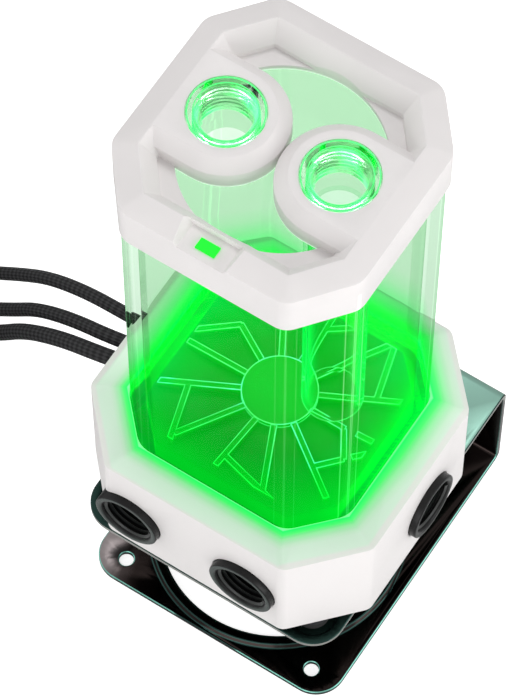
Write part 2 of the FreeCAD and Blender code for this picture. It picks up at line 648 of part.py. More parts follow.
# Manifold: volute and port passages.
manifold = new_body("manifold")
block = octagon_sketch(manifold, "ManifoldOutline", inside, S.housing_split)
add_pad(manifold, "ManifoldBlock", block, S.manifold_top - S.housing_split)
can_space = circle_sketch(manifold, "CanSpace", [(0, 0, S.can_r + S.can_gap)], S.housing_split)
add_cut(manifold, "CanSpaceCut", can_space, S.can_top - S.housing_split, forward=True)
roof = S.manifold_top - S.volute_roof
volute = circle_sketch(manifold, "Volute", [(0, 0, S.volute_r)], S.can_top)
add_cut(manifold, "VoluteCut", volute, roof - S.can_top, forward=True)
eye = circle_sketch(manifold, "VoluteEye", [(0, 0, S.eye_r)], S.manifold_top)
add_cut(manifold, "VoluteEyeCut", eye, S.volute_roof + 0.5)
seat_deep = S.port_depth - 2.4
front_seats = circle_sketch(
    manifold, "FrontPortSeats",
    [(S.left_port_x, S.port_level, S.port_spigot_r + S.screw_gap),
     (S.right_port_x, S.port_level, S.port_spigot_r + S.screw_gap)], front_flat, "XZ_Plane")
add_cut(manifold, "FrontPortSeatCut", front_seats, seat_deep)
side_seat = circle_sketch(
    manifold, "SidePortSeat", [(S.side_port_y, S.port_level, S.port_spigot_r + S.screw_gap)], side_flat,
    "YZ_Plane")
add_cut(manifold, "SidePortSeatCut", side_seat, seat_deep)
front_rise = front_flat - seat_deep - S.gallery_r * 0.3
side_rise = side_flat - seat_deep - S.gallery_r * 0.3
risers = circle_sketch(
    manifold, "Risers",
    [(S.left_port_x, -front_rise, S.gallery_r), (S.right_port_x, -front_rise, S.gallery_r),
     (side_rise, S.side_port_y, S.gallery_r)], roof)
add_cut(manifold, "RiserCut", risers, roof - S.port_level)
run_in = S.volute_r * 0.72
front_run = new_sketch(manifold, "FrontPassage", "XY_Plane", roof)
draw_polygon(front_run, [
    (S.left_port_x, -(front_rise - S.gallery_r * 0.7)), (S.left_port_x, -(front_rise + S.gallery_r * 0.5)),
    (S.right_port_x, -(front_rise + S.gallery_r * 0.5)), (S.right_port_x, -run_in),
    (S.right_port_x - S.gallery_r * 2, -run_in)])
add_cut(manifold, "FrontPassageCut", front_run, S.passage_high)
side_run = new_sketch(manifold, "SidePassage", "XY_Plane", roof)
draw_polygon(side_run, [
    (run_in, S.side_port_y - S.gallery_r * 0.7), (side_rise, S.side_port_y - S.gallery_r * 0.7),
    (side_rise, S.side_port_y + S.gallery_r * 0.7), (run_in, S.side_port_y + S.gallery_r * 0.7)])
add_cut(manifold, "SidePassageCut", side_run, S.passage_high)
seal_mid = tank.grown(-(S.tank_wall * 0.5))
seal_out = seal_mid.grown(S.seal_width * 0.5)
seal_in = seal_mid.grown(-(S.seal_width * 0.5))
groove = new_sketch(manifold, "SealGroove", "XY_Plane", S.manifold_top)
draw_polygon(groove, seal_out.corners())
draw_polygon(groove, seal_in.corners())
add_cut(manifold, "SealGrooveCut", groove, S.seal_thick)
flange_spots = four(flange_line.half_x, S.flange_screw_y) + four(S.flange_screw_x, flange_line.half_y)
block_holes = circle_sketch(
    manifold, "FlangeScrewHoles",
    [(x, y, S.small_screw_r + S.screw_gap) for x, y in flange_spots], S.manifold_top)
add_cut(manifold, "FlangeScrewHoleCut", block_holes, S.small_screw_deep * 1.04)
long_up = circle_sketch(
    manifold, "LongScrewUp",
    [(x, y, S.screw_r + S.screw_gap) for x, y in four(S.long_screw_x, S.long_screw_y)], S.housing_split)
add_cut(manifold, "LongScrewUpCut", long_up, S.long_screw_top - S.housing_split + 0.5, forward=True)
keep(manifold, "manifold")

ring_low = S.can_top - S.seal_ring_down - S.seal_ring + S.screw_gap * 0.5
keep(cut_away(
    "VoluteSeal",
    cylinder("SealOuter", S.can_r + S.can_gap - S.screw_gap, S.seal_ring - S.screw_gap, 0, 0, ring_low),
    cylinder("SealInner", S.can_r - S.seal_ring * 0.7 + S.screw_gap, S.seal_ring * 2, 0, 0,
             ring_low - S.seal_ring * 0.3)), "volute_seal")


# Port collars screwed into the manifold.
def collar(name, label, axis, degrees, x, y, seat):
    """A round collar on the port's axis: flange outside, spigot in the manifold, bore right through."""
    flange_long = S.skirt_wall + S.inner_gap + S.port_stand
    flange = cylinder(name + "_flange", S.port_ring_r, flange_long)
    spigot = cylinder(name + "_spigot", S.port_spigot_r, S.port_depth - 3.0 + 1, 0, 0, -(S.port_depth - 3.0))
    body = join(name + "_body", flange, spigot)
    hole = cylinder(name + "_bore", S.port_bore_r, flange_long + S.port_depth * 3, 0, 0, -(S.port_depth * 2))
    mouth = cone(name + "_mouth", S.port_bore_r, S.port_bore_r + 0.5, 0.5, 0, 0, flange_long - 0.5)
    made = cut_away(name, body, hole, mouth)
    spin(made, axis, degrees)
    move(made, x, y, seat)
    return keep(made, label)


collar("FrontLeft", "front_left_port", V(1, 0, 0), 90, S.left_port_x, -front_flat, S.port_level)
collar("FrontRight", "front_right_port", V(1, 0, 0), 90, S.right_port_x, -front_flat, S.port_level)
collar("Side", "side_port", V(0, 1, 0), 90, side_flat, S.side_port_y, S.port_level)

# Skirt round the pump.
base_cover = new_body("base_shell")
outer_low = octagon_sketch(base_cover, "SkirtOutline", skirt, S.skirt_bottom)
add_pad(base_cover, "SkirtWall", outer_low, S.skirt_shoulder - S.skirt_bottom)
outer_mid = octagon_sketch(base_cover, "SkirtShoulder", skirt, S.skirt_shoulder)
outer_top = octagon_sketch(base_cover, "SkirtTop", opening.grown(0.0), S.skirt_top)
slope = add_loft(base_cover, "SkirtSlope", outer_mid, outer_top)


def is_corner(edge, low, high):
    """An edge that climbs an octagon's corner, between two heights."""
    if len(edge.Vertexes) != 2:
        return False
    box_of = edge.BoundBox
    if box_of.ZMin < low - 0.01 or box_of.ZMax > high + 0.01 or box_of.ZLength < 0.5:
        return False
    return True


add_round(
    base_cover, "SkirtEdges", slope, lambda e: is_corner(e, S.skirt_bottom.value, S.skirt_top.value),
    S.skirt_round)
skirt_in = skirt.grown(-S.skirt_wall)
inner_low = octagon_sketch(base_cover, "SkirtInside", skirt_in, S.skirt_bottom)
add_cut(
    base_cover, "SkirtInsideCut", inner_low, S.skirt_shoulder - S.opening_wall - S.skirt_bottom, forward=True)
inner_mid = octagon_sketch(base_cover, "SkirtInsideMid", skirt_in, S.skirt_shoulder - S.opening_wall)
inner_top = octagon_sketch(base_cover, "SkirtInsideTop", opening, S.skirt_top - S.opening_wall)
add_loft(base_cover, "SkirtInsideSlope", inner_mid, inner_top, cut=True)
front_holes = circle_sketch(
    base_cover, "FrontPortHoles",
    [(S.left_port_x, S.port_level, S.port_ring_r + S.port_hole_gap),
     (S.right_port_x, S.port_level, S.port_ring_r + S.port_hole_gap)], S.skirt_half_y + 1, "XZ_Plane")
add_cut(base_cover, "FrontPortHoleCut", front_holes, S.skirt_half_y * 0.5)
side_hole = circle_sketch(
    base_cover, "SidePortHole", [(S.side_port_y, S.port_level, S.port_ring_r + S.port_hole_gap)],
    S.skirt_half_x + 1, "YZ_Plane")
add_cut(base_cover, "SidePortHoleCut", side_hole, S.skirt_wall * 3)
notch = new_sketch(base_cover, "LeadNotch", "YZ_Plane", -(S.skirt_half_x + 1))
draw_polygon(notch, [
    (S.notch_low, S.skirt_bottom - 1), (S.notch_high, S.skirt_bottom - 1),
    (S.notch_high, S.skirt_bottom + S.notch_rise), (S.notch_low, S.skirt_bottom + S.notch_rise)])
add_cut(base_cover, "LeadNotchCut", notch, S.skirt_wall * 3, forward=True)
opening_tool = new_body("skirt_opening")
open_low = octagon_sketch(opening_tool, "SkirtOpening", opening, S.skirt_shoulder)
open_pad = add_pad(opening_tool, "SkirtOpeningPad", open_low, S.slope_high * 2)
add_round(
    opening_tool, "SkirtOpeningEdges", open_pad, lambda e: is_along(e, 0, 0, 1), S.tank_round + S.tank_gap)
keep(cut_away("BaseCover", base_cover, opening_tool), "base_cover")

# Tank.
tank_body = new_body("tank_wall")
tank_out = octagon_sketch(tank_body, "TankOutline", tank, S.manifold_top)
tank_pad = add_pad(tank_body, "TankBlock", tank_out, S.tank_top - S.manifold_top)
tank_round = add_round(tank_body, "TankEdges", tank_pad, lambda e: is_along(e, 0, 0, 1), S.tank_round)
flange = octagon_sketch(tank_body, "TankFlange", tank.grown(S.flange_reach), S.manifold_top)
add_pad(tank_body, "TankFlangePad", flange, S.flange_thick)
tank_in = octagon_sketch(tank_body, "TankBore", bore, S.tank_top)
add_cut(tank_body, "TankBoreCut", tank_in, S.tank_top - S.manifold_top)
flange_holes = circle_sketch(
    tank_body, "FlangeHoles", [(x, y, S.small_screw_r + S.screw_gap) for x, y in flange_spots],
    S.manifold_top + S.flange_thick)
add_cut(tank_body, "FlangeHoleCut", flange_holes, S.flange_thick)
flange_heads = circle_sketch(
    tank_body, "FlangeHeads", [(x, y, S.small_head_r + S.screw_gap) for x, y in flange_spots],
    S.manifold_top + S.flange_thick)
add_cut(tank_body, "FlangeHeadCut", flange_heads, S.small_head)
add_round(
    tank_body, "TankBoreEdges", tank_body.Tip,
    lambda e: is_along(e, 0, 0, 1) and e.BoundBox.ZLength > S.tank_high.value * 0.9
    and abs(e.Vertexes[0].X) < bore.half_x.value + 0.01 and abs(e.Vertexes[0].Y) < bore.half_y.value + 0.01,
    S.tank_round - S.tank_wall)
keep(tank_body, "tank_wall")

flange_screws = []
for i, (x, y) in enumerate(flange_spots):
    flange_screws.append(screw(
        "FlangeScrew%d" % i, S.small_screw_r, S.small_head_r, S.small_head, x, y,
        S.manifold_top + S.flange_thick - S.small_head, S.manifold_top - S.small_screw_deep))
keep(group_of("TankScrews", *flange_screws), "tank_screws")

seal = new_body("tank_seal")
seal_shape = new_sketch(seal, "SealOutline", "XY_Plane", S.manifold_top - S.seal_thick)
draw_polygon(seal_shape, seal_out.grown(-0.05).corners())
draw_polygon(seal_shape, seal_in.grown(0.05).corners())
add_pad(seal, "SealPad", seal_shape, S.seal_thick)
keep(seal, "tank_seal")

# Ring of lights round the tank's foot.
light_level = S.manifold_top + S.flange_thick
board_in = tank.grown(0.3)
board = new_body("light_board")
board_shape = new_sketch(board, "LightBoardOutline", "XY_Plane", light_level)
draw_polygon(board_shape, board_in.grown(S.light_board_width).corners())
draw_polygon(board_shape, board_in.corners())
add_pad(board, "LightBoardPad", board_shape, S.light_board_thick)
keep(board, "light_board")

mid = board_in.grown(S.light_board_width * 0.5)
lights = []
spots = four(mid.half_x, S.opening_half_y * 0.32) + four(S.opening_half_x * 0.36, mid.half_y)
for i, (x, y) in enumerate(spots):
    lights.append(box("Light%d" % i, S.light_size, S.light_size, S.light_high,
                      as_size(x) - S.light_size * 0.5, as_size(y) - S.light_size * 0.5,
                      light_level + S.light_board_thick))
keep(group_of("BoardLights", *lights), "board_lights")

# Ribbed floor of the tank.
floor_edge = bore.grown(-S.floor_gap)
tray = new_body("floor_tray")
tray_out = octagon_sketch(tray, "TrayOutline", floor_edge, S.manifold_top)
add_pad(tray, "TrayBlock", tray_out, S.floor_top - S.manifold_top)
tray_in = new_sketch(tray, "TrayInside", "XY_Plane", S.manifold_top)
draw_polygon(tray_in, floor_edge.grown(-S.floor_rim).corners())
draw_circle(tray_in, 0, 0, S.eye_r + S.throat_wall)
add_cut(tray, "TrayInsideCut", tray_in, S.floor_top - S.floor_plate - S.manifold_top, forward=True)
throat = circle_sketch(tray, "Throat", [(0, 0, S.eye_r)], S.floor_top)
add_cut(tray, "ThroatCut", throat, S.floor_top - S.manifold_top)
RIB_ANGLES = [0, 27, 58, 90, 120, 150, 181, 207, 237, 265, 294, 324]
RIB_ENDS = [17.6, 40, 40, 40, 40, 19.3, 40, 40, 26, 40, 40, 40]
BRANCHES = [
    ((-18.6, -8.9), (-13.1, -27.5)), ((-2.0, -20.2), (15.5, -24.6)), ((16.6, -11.8), (21.4, -6.6)),
    ((21.4, -6.6), (17.4, -0.2)), ((20.4, 0.3), (28.0, 0.8)), ((22.6, -5.2), (28.0, 0.4)),
    ((19.5, 10.2), (14.6, 28.0)), ((-16.5, 9.6), (-28.0, 0.2)), ((-9.8, 17.4), (-24.0, 15.0)),
    ((0.0, 19.0), (11.0, 27.0)),
]
rib_low = S.floor_top - 0.2
rib_high = S.rib_rise + 0.2
ribs = []
for i, (angle, end) in enumerate(zip(RIB_ANGLES, RIB_ENDS)):
    turn = math.radians(angle)
    start = S.hub_r - 1.2
    rib = box("Rib%d" % i, as_size(end) - start, S.rib_width, rib_high)
    spin(rib, V(0, 0, 1), angle)
    move(rib, start * math.cos(turn) + S.rib_width * (0.5 * math.sin(turn)),
         start * math.sin(turn) + S.rib_width * (-0.5 * math.cos(turn)), rib_low)
    ribs.append(rib)
for i, (near, far) in enumerate(BRANCHES):
    run = math.hypot(far[0] - near[0], far[1] - near[1])
    turn = math.atan2(far[1] - near[1], far[0] - near[0])
    rib = box("Branch%d" % i, run, S.rib_width, rib_high)
    spin(rib, V(0, 0, 1), math.degrees(turn))
    move(rib, S.rib_width * (0.5 * math.sin(turn)) + near[0],
         S.rib_width * (-0.5 * math.cos(turn)) + near[1], rib_low)
    ribs.append(rib)
hub_plate = cylinder("HubPlate", S.hub_r, S.hub_plate, 0, 0, S.floor_top + S.rib_rise - S.hub_plate + 0.4)
rib_limit = new_body("RibLimitBody")
limit = octagon_sketch(rib_limit, "RibLimit", floor_edge.grown(-1.2), S.manifold_top)
add_pad(rib_limit, "RibLimitPad", limit, S.floor_top + S.rib_rise * 2 - S.manifold_top)
trimmed = common("RibsTrimmed", join("RibsAll", *ribs), rib_limit)
keep(join("FloorPlate", tray, trimmed, hub_plate), "floor_plate")

# Lid with two threaded necks, drop tube.
lid = new_body("tank_lid")
lid_shape = octagon_sketch(lid, "LidOutline", lid_edge, lid_low)
add_pad(lid, "LidPlate", lid_shape, S.lid_thick)
plug = octagon_sketch(lid, "LidPlug", bore.grown(-S.floor_gap), lid_low - S.lid_plug)
add_pad(lid, "LidPlugPad", plug, S.lid_plug)
necks = [(S.neck_x, S.neck_y), (-S.neck_x, S.neck_y)]
neck_rings = circle_sketch(lid, "Necks", [(x, y, S.neck_r) for x, y in necks], lid_top)
add_pad(lid, "NeckPads", neck_rings, S.ridge_top - lid_top)
threads = circle_sketch(lid, "NeckBores", [(x, y, S.port_bore_r) for x, y in necks], S.ridge_top)
add_cut(lid, "NeckBoreCut", threads, S.neck_depth)
through = circle_sketch(lid, "NeckThrough", [(x, y, S.drop_bore_r) for x, y in necks], S.ridge_top)
neck_cut = add_cut(lid, "NeckThroughCut", through, S.ridge_top - lid_low + S.lid_plug)
add_round(
    lid, "NeckMouths", neck_cut,
    lambda e: isinstance(e.Curve, Part.Circle) and abs(e.Curve.Radius - S.port_bore_r.value) < 1e-4
    and abs(e.Curve.Center.z - S.ridge_top.value) < 1e-4, S.neck_mouth, "PartDesign::Chamfer")
keep(lid, "tank_lid")

drop_top = lid_low - S.lid_plug
drop = cylinder("DropOuter", S.drop_r, drop_top - S.drop_bottom, S.neck_x, S.neck_y, S.drop_bottom)
drop_hole = cylinder(
    "DropBore", S.drop_bore_r, drop_top - S.drop_bottom + 2, S.neck_x, S.neck_y, S.drop_bottom - 1)
keep(cut_away("DropTube", drop, drop_hole), "drop_tube")

# Top cover: ridge, well, window and two tabs.
top = new_body("top_cover_shell")
wall_low = octagon_sketch(top, "CoverWallOutline", brow, S.tank_top)
add_pad(top, "CoverWall", wall_low, S.brow_low - S.tank_top)
brow_line = octagon_sketch(top, "CoverBrow", brow, S.brow_low)
ridge_line = octagon_sketch(top, "CoverRidge", ridge, S.ridge_top)
brow_slope = add_loft(top, "CoverSlopeOut", brow_line, ridge_line)
add_round(
    top, "CoverEdges", brow_slope, lambda e: is_corner(e, S.tank_top.value, S.ridge_top.value), S.cover_round)
well_edge = ridge.grown(-S.slope_in)
ridge_in = octagon_sketch(top, "CoverRidgeIn", ridge.grown(-0.3), S.ridge_top)
slope_edge = octagon_sketch(top, "CoverSlopeEdge", well_edge, S.slope_low)
add_loft(top, "CoverSlopeIn", ridge_in, slope_edge, cut=True)
well_line = octagon_sketch(top, "CoverWell", well_edge, S.slope_low)
add_cut(top, "CoverWellCut", well_line, S.slope_low - S.well_level)
under_line = octagon_sketch(top, "CoverUnder", lid_edge.grown(S.lid_gap), S.tank_top)
add_cut(top, "CoverUnderCut", under_line, lid_top - S.tank_top, forward=True)
sight = circle_sketch(top, "CoverSight", [(0, 0, S.sight_r)], S.slope_low + 1.2)
add_cut(top, "CoverSightCut", sight, S.slope_low + 2 - lid_top)
plaque = new_sketch(top, "CoverPlaque", "XZ_Plane", S.plaque_back)
draw_polygon(plaque, [
    (S.lens_x - S.plaque_half, S.plaque_level), (S.lens_x + S.plaque_half, S.plaque_level),
    (S.lens_x + S.plaque_half + S.plaque_slant, S.ridge_top + 1),
    (S.lens_x - S.plaque_half - S.plaque_slant, S.ridge_top + 1)])
add_cut(top, "CoverPlaqueCut", plaque, S.brow * 3, forward=True)


def tab(name, side, x, y):
    """A tongue from the left or right rim to the neck: level with the ridge, with bevelled flanks."""
    foot = S.tab_r + S.tab_bevel
    round_low = cylinder(name + "_low", foot, S.tab_bevel_low - lid_top, x, y, lid_top)
    round_top = cone(name + "_bevel", foot, S.tab_r, S.ridge_top - S.tab_bevel_low, x, y, S.tab_bevel_low)
    made = new_body(name + "_run")
    cross = new_sketch(made, name + "_cross", "YZ_Plane", x)
    draw_polygon(cross, [
        (y - foot, lid_top), (y + foot, lid_top), (y + foot, S.tab_bevel_low), (y + S.tab_r, S.ridge_top),
        (y - S.tab_r, S.ridge_top), (y - foot, S.tab_bevel_low)])
    run = add_pad(made, name + "_pad", cross, S.ridge_half_x + 2.0 - S.neck_x)
    run.Reversed = side < 0
    return [round_low, round_top, made]


tab_pieces = tab("RightTab", 1, S.neck_x, S.neck_y) + tab("LeftTab", -1, -S.neck_x, S.neck_y)
tab_limit = new_body("TabLimitBody")
limit_low = octagon_sketch(tab_limit, "TabLimitLow", ridge, lid_top)
add_pad(tab_limit, "TabLimitPad", limit_low, S.ridge_top - lid_top)
tabs = common("TabsTrimmed", join("TabsAll", *tab_pieces), tab_limit)
neck_holes = [cylinder("NeckHole%d" % i, S.neck_r + S.neck_gap, S.cap_high * 2, x, y, lid_low)
              for i, (x, y) in enumerate(necks)]
keep(cut_away("TopCover", join("CoverWithTabs", top, tabs), *neck_holes), "top_cover")

lens = box("LensBlock", S.lens_long, S.lens_wide, S.lens_high, S.lens_x - S.lens_long * 0.5,
           -(S.plaque_back + S.lens_out + S.lens_wide * 0.5), S.plaque_level)
keep(lens, "indicator_lens")


# Leads.
def lead_tube(name, label, points, radius):
    """A free lead along straight runs joined by tangent arcs, cut square where it leaves the grommet."""
    points = [V(*p) for p in points]
    face = points[0]
    points[0] = face - (points[1] - face).normalize() * (radius * 0.4)
    edges = []
    here = points[0]
    bends = []
    for before, at, after in zip(points, points[1:], points[2:]):
        into = (at - before).normalize()
        out = (after - at).normalize()
        half = into.getAngle(out) / 2
        bend = 0.45 * min((at - before).Length, (after - at).Length) / math.tan(half)
        back = bend * math.tan(half)
        start = at - into * back
        end = at + out * back
        inward = (out - into).normalize()
        middle = at + inward * (bend / math.cos(half) - bend)
        edges.append(Part.LineSegment(here, start).toShape())
        edges.append(Part.Arc(start, middle, end).toShape())
        bends.append(round(bend, 1))
        here = end
    edges.append(Part.LineSegment(here, points[-1]).toShape())
    path = Part.Wire(edges)
    ring = Part.Wire([Part.Circle(points[0], points[1] - points[0], radius).toShape()])
    shell = Part.BRepOffsetAPI.MakePipeShell(path)
    shell.setFrenetMode(True)
    shell.setTransitionMode(0)
    shell.add(ring)
    shell.build()
    shell.makeSolid()
    solid = shell.shape()
    print(label, "bends", bends, "length", round(path.Length, 2),
          "volume ratio", round(solid.Volume / (math.pi * radius * radius * path.Length), 5))
    side = radius * 6
    behind = Part.makeBox(side, side, side, V(face.x, face.y - side / 2, face.z - side / 2))
    made = doc.addObject("Part::Feature", name)
    made.Shape = solid.cut(behind)
    return keep(made, label)


grommet_low_y = S.notch_low + S.grommet_end
grommet_high_y = S.notch_high - S.grommet_end
grommet_low = S.skirt_bottom - S.grommet_drop
grommet = box("GrommetBlock", S.grommet_out, grommet_high_y - grommet_low_y,
              S.grommet_drop + S.grommet_rise, -(side_flat + S.grommet_out), grommet_low_y, grommet_low)
grommet_round = doc.addObject("Part::Fillet", "LeadGrommet")
grommet_round.Base = grommet
doc.recompute()
soft = S.grommet_round.value
grommet_round.Edges = [
    (i, soft, soft) for i, e in enumerate(grommet.Shape.Edges, start=1) if is_along(e, 1, 0, 0)]
keep(grommet_round, "lead_grommet")

exit_x = -(side_flat + S.grommet_out).value
level = S.lead_level.value

POWER_ROUTE = [
    (exit_x, 2.4, level), (-50.5, 0.6, 39.6), (-62.5, 1.3, 34.0), (-74.5, 2.5, 24.0), (-83.0, 3.0, 13.0),
    (-93.0, 1.5, 5.0), (-105.0, -2.2, 2.3),
]
SPEED_ROUTE = [
    (exit_x, 7.5, level), (-50.5, 5.6, 40.0), (-62.5, 6.7, 35.0), (-74.5, 8.2, 26.0), (-83.5, 9.4, 14.5),
    (-94.0, 9.0, 5.0), (-107.0, 8.0, 2.1), (-120.0, 7.4, 2.0), (-133.0, 6.4, 2.1), (-146.0, 6.0, 2.0),
]
LIGHT_ROUTE = [
    (exit_x, 12.6, level), (-51.5, 12.8, 39.8), (-63.5, 14.0, 36.5), (-75.4, 15.2, 30.0),
    (-86.0, 17.0, 18.5), (-97.0, 17.5, 7.5), (-109.0, 16.5, 2.2), (-120.0, 14.6, 2.0), (-131.0, 13.6, 2.1),
]


def socket_housing(name, wide, long, high, rows):
    """A socket housing with its back at the lead's end, pointing along +X before it is placed."""
    made = new_body(name)
    drawn = new_sketch(made, name + "Outline", "YZ_Plane")
    draw_polygon(drawn, [
        (-wide * 0.5, -high * 0.5), (wide * 0.5, -high * 0.5), (wide * 0.5, high * 0.34),
        (wide * 0.42, high * 0.34), (wide * 0.42, high * 0.5), (-wide * 0.42, high * 0.5),
        (-wide * 0.42, high * 0.34), (-wide * 0.5, high * 0.34)])
    add_pad(made, name + "Pad", drawn, long)
    holes = new_sketch(made, name + "Holes", "YZ_Plane", long)
    for at, half_wide, half_high in rows:
        draw_polygon(holes, [
            (at - half_wide, -half_high), (at + half_wide, -half_high), (at + half_wide, half_high),
            (at - half_wide, half_high)])
    add_cut(made, name + "HoleCut", holes, S.pin_deep)
    return made


def put_away(word, route, side, radius, coil_r, turns, socket, socket_high):
    """The lead's tube, the ring that its stacked turns fill, and the plug lying on that ring."""
    lead_tube(word.capitalize() + "Lead", word + "_lead", route, radius.value)
    end = V(*route[-1])
    heading = (end - V(*route[-2]))
    heading.z = 0
    heading.normalize()
    centre = end + V(-heading.y, heading.x, 0) * (side * coil_r.value)
    high = radius * 6
    outer = cylinder(word + "RingOuter", coil_r + radius * 1.1, high, centre.x, centre.y, S.coil_lift)
    inner = cylinder(word + "RingInner", coil_r - radius * 1.1, high * 3, centre.x, centre.y, -high)
    keep(cut_away(word + "Ring", outer, inner), word + "_lead_coil")
    start = math.atan2(end.y - centre.y, end.x - centre.x)
    last = start + side * turns * 2 * math.pi
    back = centre + V(math.cos(last), math.sin(last), 0) * coil_r.value
    turned = math.degrees(last) + 90 * side
    back.z = (S.coil_lift + high + socket_high * 0.5).value
    socket.Placement = FreeCAD.Placement(back, FreeCAD.Rotation(V(0, 0, 1), turned))
    print(word, "centre", tuple(round(c, 3) for c in centre), "start", round(math.degrees(start), 2),
          "last", round(math.degrees(last), 2), "plug back", tuple(round(c, 3) for c in back))
    keep(socket, word + "_plug")


power_plug = socket_housing(
    "PowerPlug", S.power_plug_wide, S.power_plug_long, S.power_plug_high,
    [(as_size(0), S.power_plug_wide * 0.42, S.power_plug_high * 0.18)])
speed_plug = socket_housing(
    "SpeedPlug", S.speed_plug_wide, S.speed_plug_long, S.speed_plug_high,
    [(S.pin_pitch * k, S.pin_hole * 0.5, S.pin_hole * 0.5) for k in (-1.5, -0.5, 0.5, 1.5)])
light_plug = socket_housing(
    "LightPlug", S.light_plug_wide, S.light_plug_long, S.light_plug_high,
    [(S.pin_pitch * k, S.pin_hole * 0.5, S.pin_hole * 0.5) for k in (-1, 0, 1)])
put_away("power", POWER_ROUTE, 1, S.power_lead_r, S.power_coil_r, 2.2, power_plug, S.power_plug_high)
put_away("speed", SPEED_ROUTE, 1, S.speed_lead_r, S.speed_coil_r, 2.86, speed_plug, S.speed_plug_high)
put_away("light", LIGHT_ROUTE, -1, S.light_lead_r, S.light_coil_r, 2.86, light_plug, S.light_plug_high)

doc.recompute()

# Check and write.
for thing in doc.Objects:
    if "Invalid" in thing.State or "Error" in thing.State:
        raise ValueError("%s failed: %s" % (thing.Name, thing.State))
os.makedirs("parts", exist_ok=True)
for thing in NODES:
    shape = thing.Shape
    if shape.isNull() or not shape.isValid() or not shape.Solids:
        raise ValueError(thing.Label + " has no valid solid")
    shape.exportStep("parts/" + thing.Label + ".step")
    b = shape.BoundBox
    print("%-20s solids %2d volume %9.1f x %.1f %.1f y %.1f %.1f z %.1f %.1f" % (
        thing.Label, len(shape.Solids), shape.Volume, b.XMin, b.XMax, b.YMin, b.YMax, b.ZMin, b.ZMax))
print(len(NODES), "nodes")
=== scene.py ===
import math

import bpy
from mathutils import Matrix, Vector


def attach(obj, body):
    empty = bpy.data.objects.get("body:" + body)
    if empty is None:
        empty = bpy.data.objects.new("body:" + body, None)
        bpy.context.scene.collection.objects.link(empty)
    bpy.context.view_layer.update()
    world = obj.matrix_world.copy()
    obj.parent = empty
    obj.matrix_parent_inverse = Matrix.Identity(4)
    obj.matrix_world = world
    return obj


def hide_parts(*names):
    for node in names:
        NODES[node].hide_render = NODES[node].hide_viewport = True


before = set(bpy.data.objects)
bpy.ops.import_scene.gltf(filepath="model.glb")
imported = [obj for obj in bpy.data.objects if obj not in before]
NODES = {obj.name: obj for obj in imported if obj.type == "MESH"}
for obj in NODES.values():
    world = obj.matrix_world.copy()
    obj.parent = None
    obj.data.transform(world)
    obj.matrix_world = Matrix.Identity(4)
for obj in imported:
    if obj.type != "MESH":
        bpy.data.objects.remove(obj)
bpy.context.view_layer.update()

bl_info = {
    "name": "Coolant pump reservoir",
    "version": (1, 0, 0),
    "blender": (4, 5, 0),
    "location": "3D View > Sidebar > Reservoir",
    "description": "Dresses the packed coolant pump reservoir with its finishes, threads, leads and studio",
    "category": "Object",
}

BODY = "reservoir"
MM = 0.001
UP = (0, 0, 1)


def mm(*numbers):
    """Millimetres as metres, one number or a tuple."""
    if len(numbers) == 1:
        return numbers[0] * MM
    return tuple(n * MM for n in numbers)


# Levels above the plane that the bracket stands on. A pair is the span over which a tone, a painted light or a
# painted reflection changes, and the tank's tones and painted glow run from its foot over TANK_RISE.
SHELF_UNDER = mm(29.5, 31.0)
PUMP_TOP = mm(64.2, 64.8)
TANK_FOOT, TANK_RISE = mm(66.0, 110.0)
FLANGE_TOP = mm(73.0, 76.0)
RIB_BLEND = mm(74.6, 75.4)
RIB_TOPS = mm(75.0)
TUBE_LIGHT = mm(92.0, 155.0)
LID_UNDER = mm(174.5)
CAP_INNER_LIGHT = mm(180.3, 180.6)
# Levels, and the necks' places in plan, that points are made of. These are still in millimetres.
PORT_LEVEL, TUBE_END, CAP_WINDOW, NECK_TOP = 53.3, 89.1, 180.4, 187.3
NECK_X, MIDDLE_Y = 13.8, 0.2

# Plan: the outline of the skirt's opening as half widths with the normal and distance of its slanted sides, the
# width of the skirt's slope, and the tank's upright corners in one quarter.
OPENING_X, OPENING_Y = mm(29.7), mm(28.6)
SLANT_X, SLANT_Y, SLANT_AT = 0.7266, 0.687, mm(33.67)
SLOPE = mm(9.0)
CORNERS = (mm(19.05, 28.35), mm(29.45, 17.4))
CORNER_REACH = mm(3.0)

BLACK, WHITE = (0.0, 0.0, 0.0), (1.0, 1.0, 1.0)


class ReservoirSizes(bpy.types.PropertyGroup):
    """Sizes that a user would change."""

    thread_pitch: bpy.props.FloatProperty(
        name="Thread pitch", description="Distance between the port threads' turns", default=mm(1.337),
        unit="LENGTH")
    thread_depth: bpy.props.FloatProperty(
        name="Thread depth", description="How far a thread's crest stands out of its bore", default=mm(0.62),
        unit="LENGTH")
    edge_width: bpy.props.FloatProperty(
        name="Moulded edge", description="Width of the softened edges of the white mouldings",
        default=mm(0.7), unit="LENGTH")
    sheet_edge: bpy.props.FloatProperty(
        name="Sheet edge", description="Width of the tumbled edges of the bracket", default=mm(0.35),
        unit="LENGTH")
    rib_edge: bpy.props.FloatProperty(
        name="Rib edge", description="Width of the light-catching edges of the tank floor's ribs",
        default=mm(0.25), unit="LENGTH")
    tie_width: bpy.props.FloatProperty(
        name="Tie width", description="Width of the ties round the leads' coils", default=mm(4.0),
        unit="LENGTH")


class ReservoirColours(bpy.types.PropertyGroup):
    """Colours that a user would change."""

    moulding: bpy.props.FloatVectorProperty(
        name="Moulding", description="White of the cap and the skirt", default=(0.82, 0.79, 0.785),
        subtype="COLOR")
    glow: bpy.props.FloatVectorProperty(
        name="Glow", description="Light of the ring round the tank's foot", default=(0.0, 0.62, 0.06),
        subtype="COLOR")
    clear: bpy.props.FloatVectorProperty(
        name="Clear plastic", description="Tint of the tank", default=(0.70, 0.885, 0.725),
        subtype="COLOR")
    chrome: bpy.props.FloatVectorProperty(
        name="Black chrome", description="Reflection of the bracket's shelf", default=(0.205, 0.36, 0.30),
        subtype="COLOR")


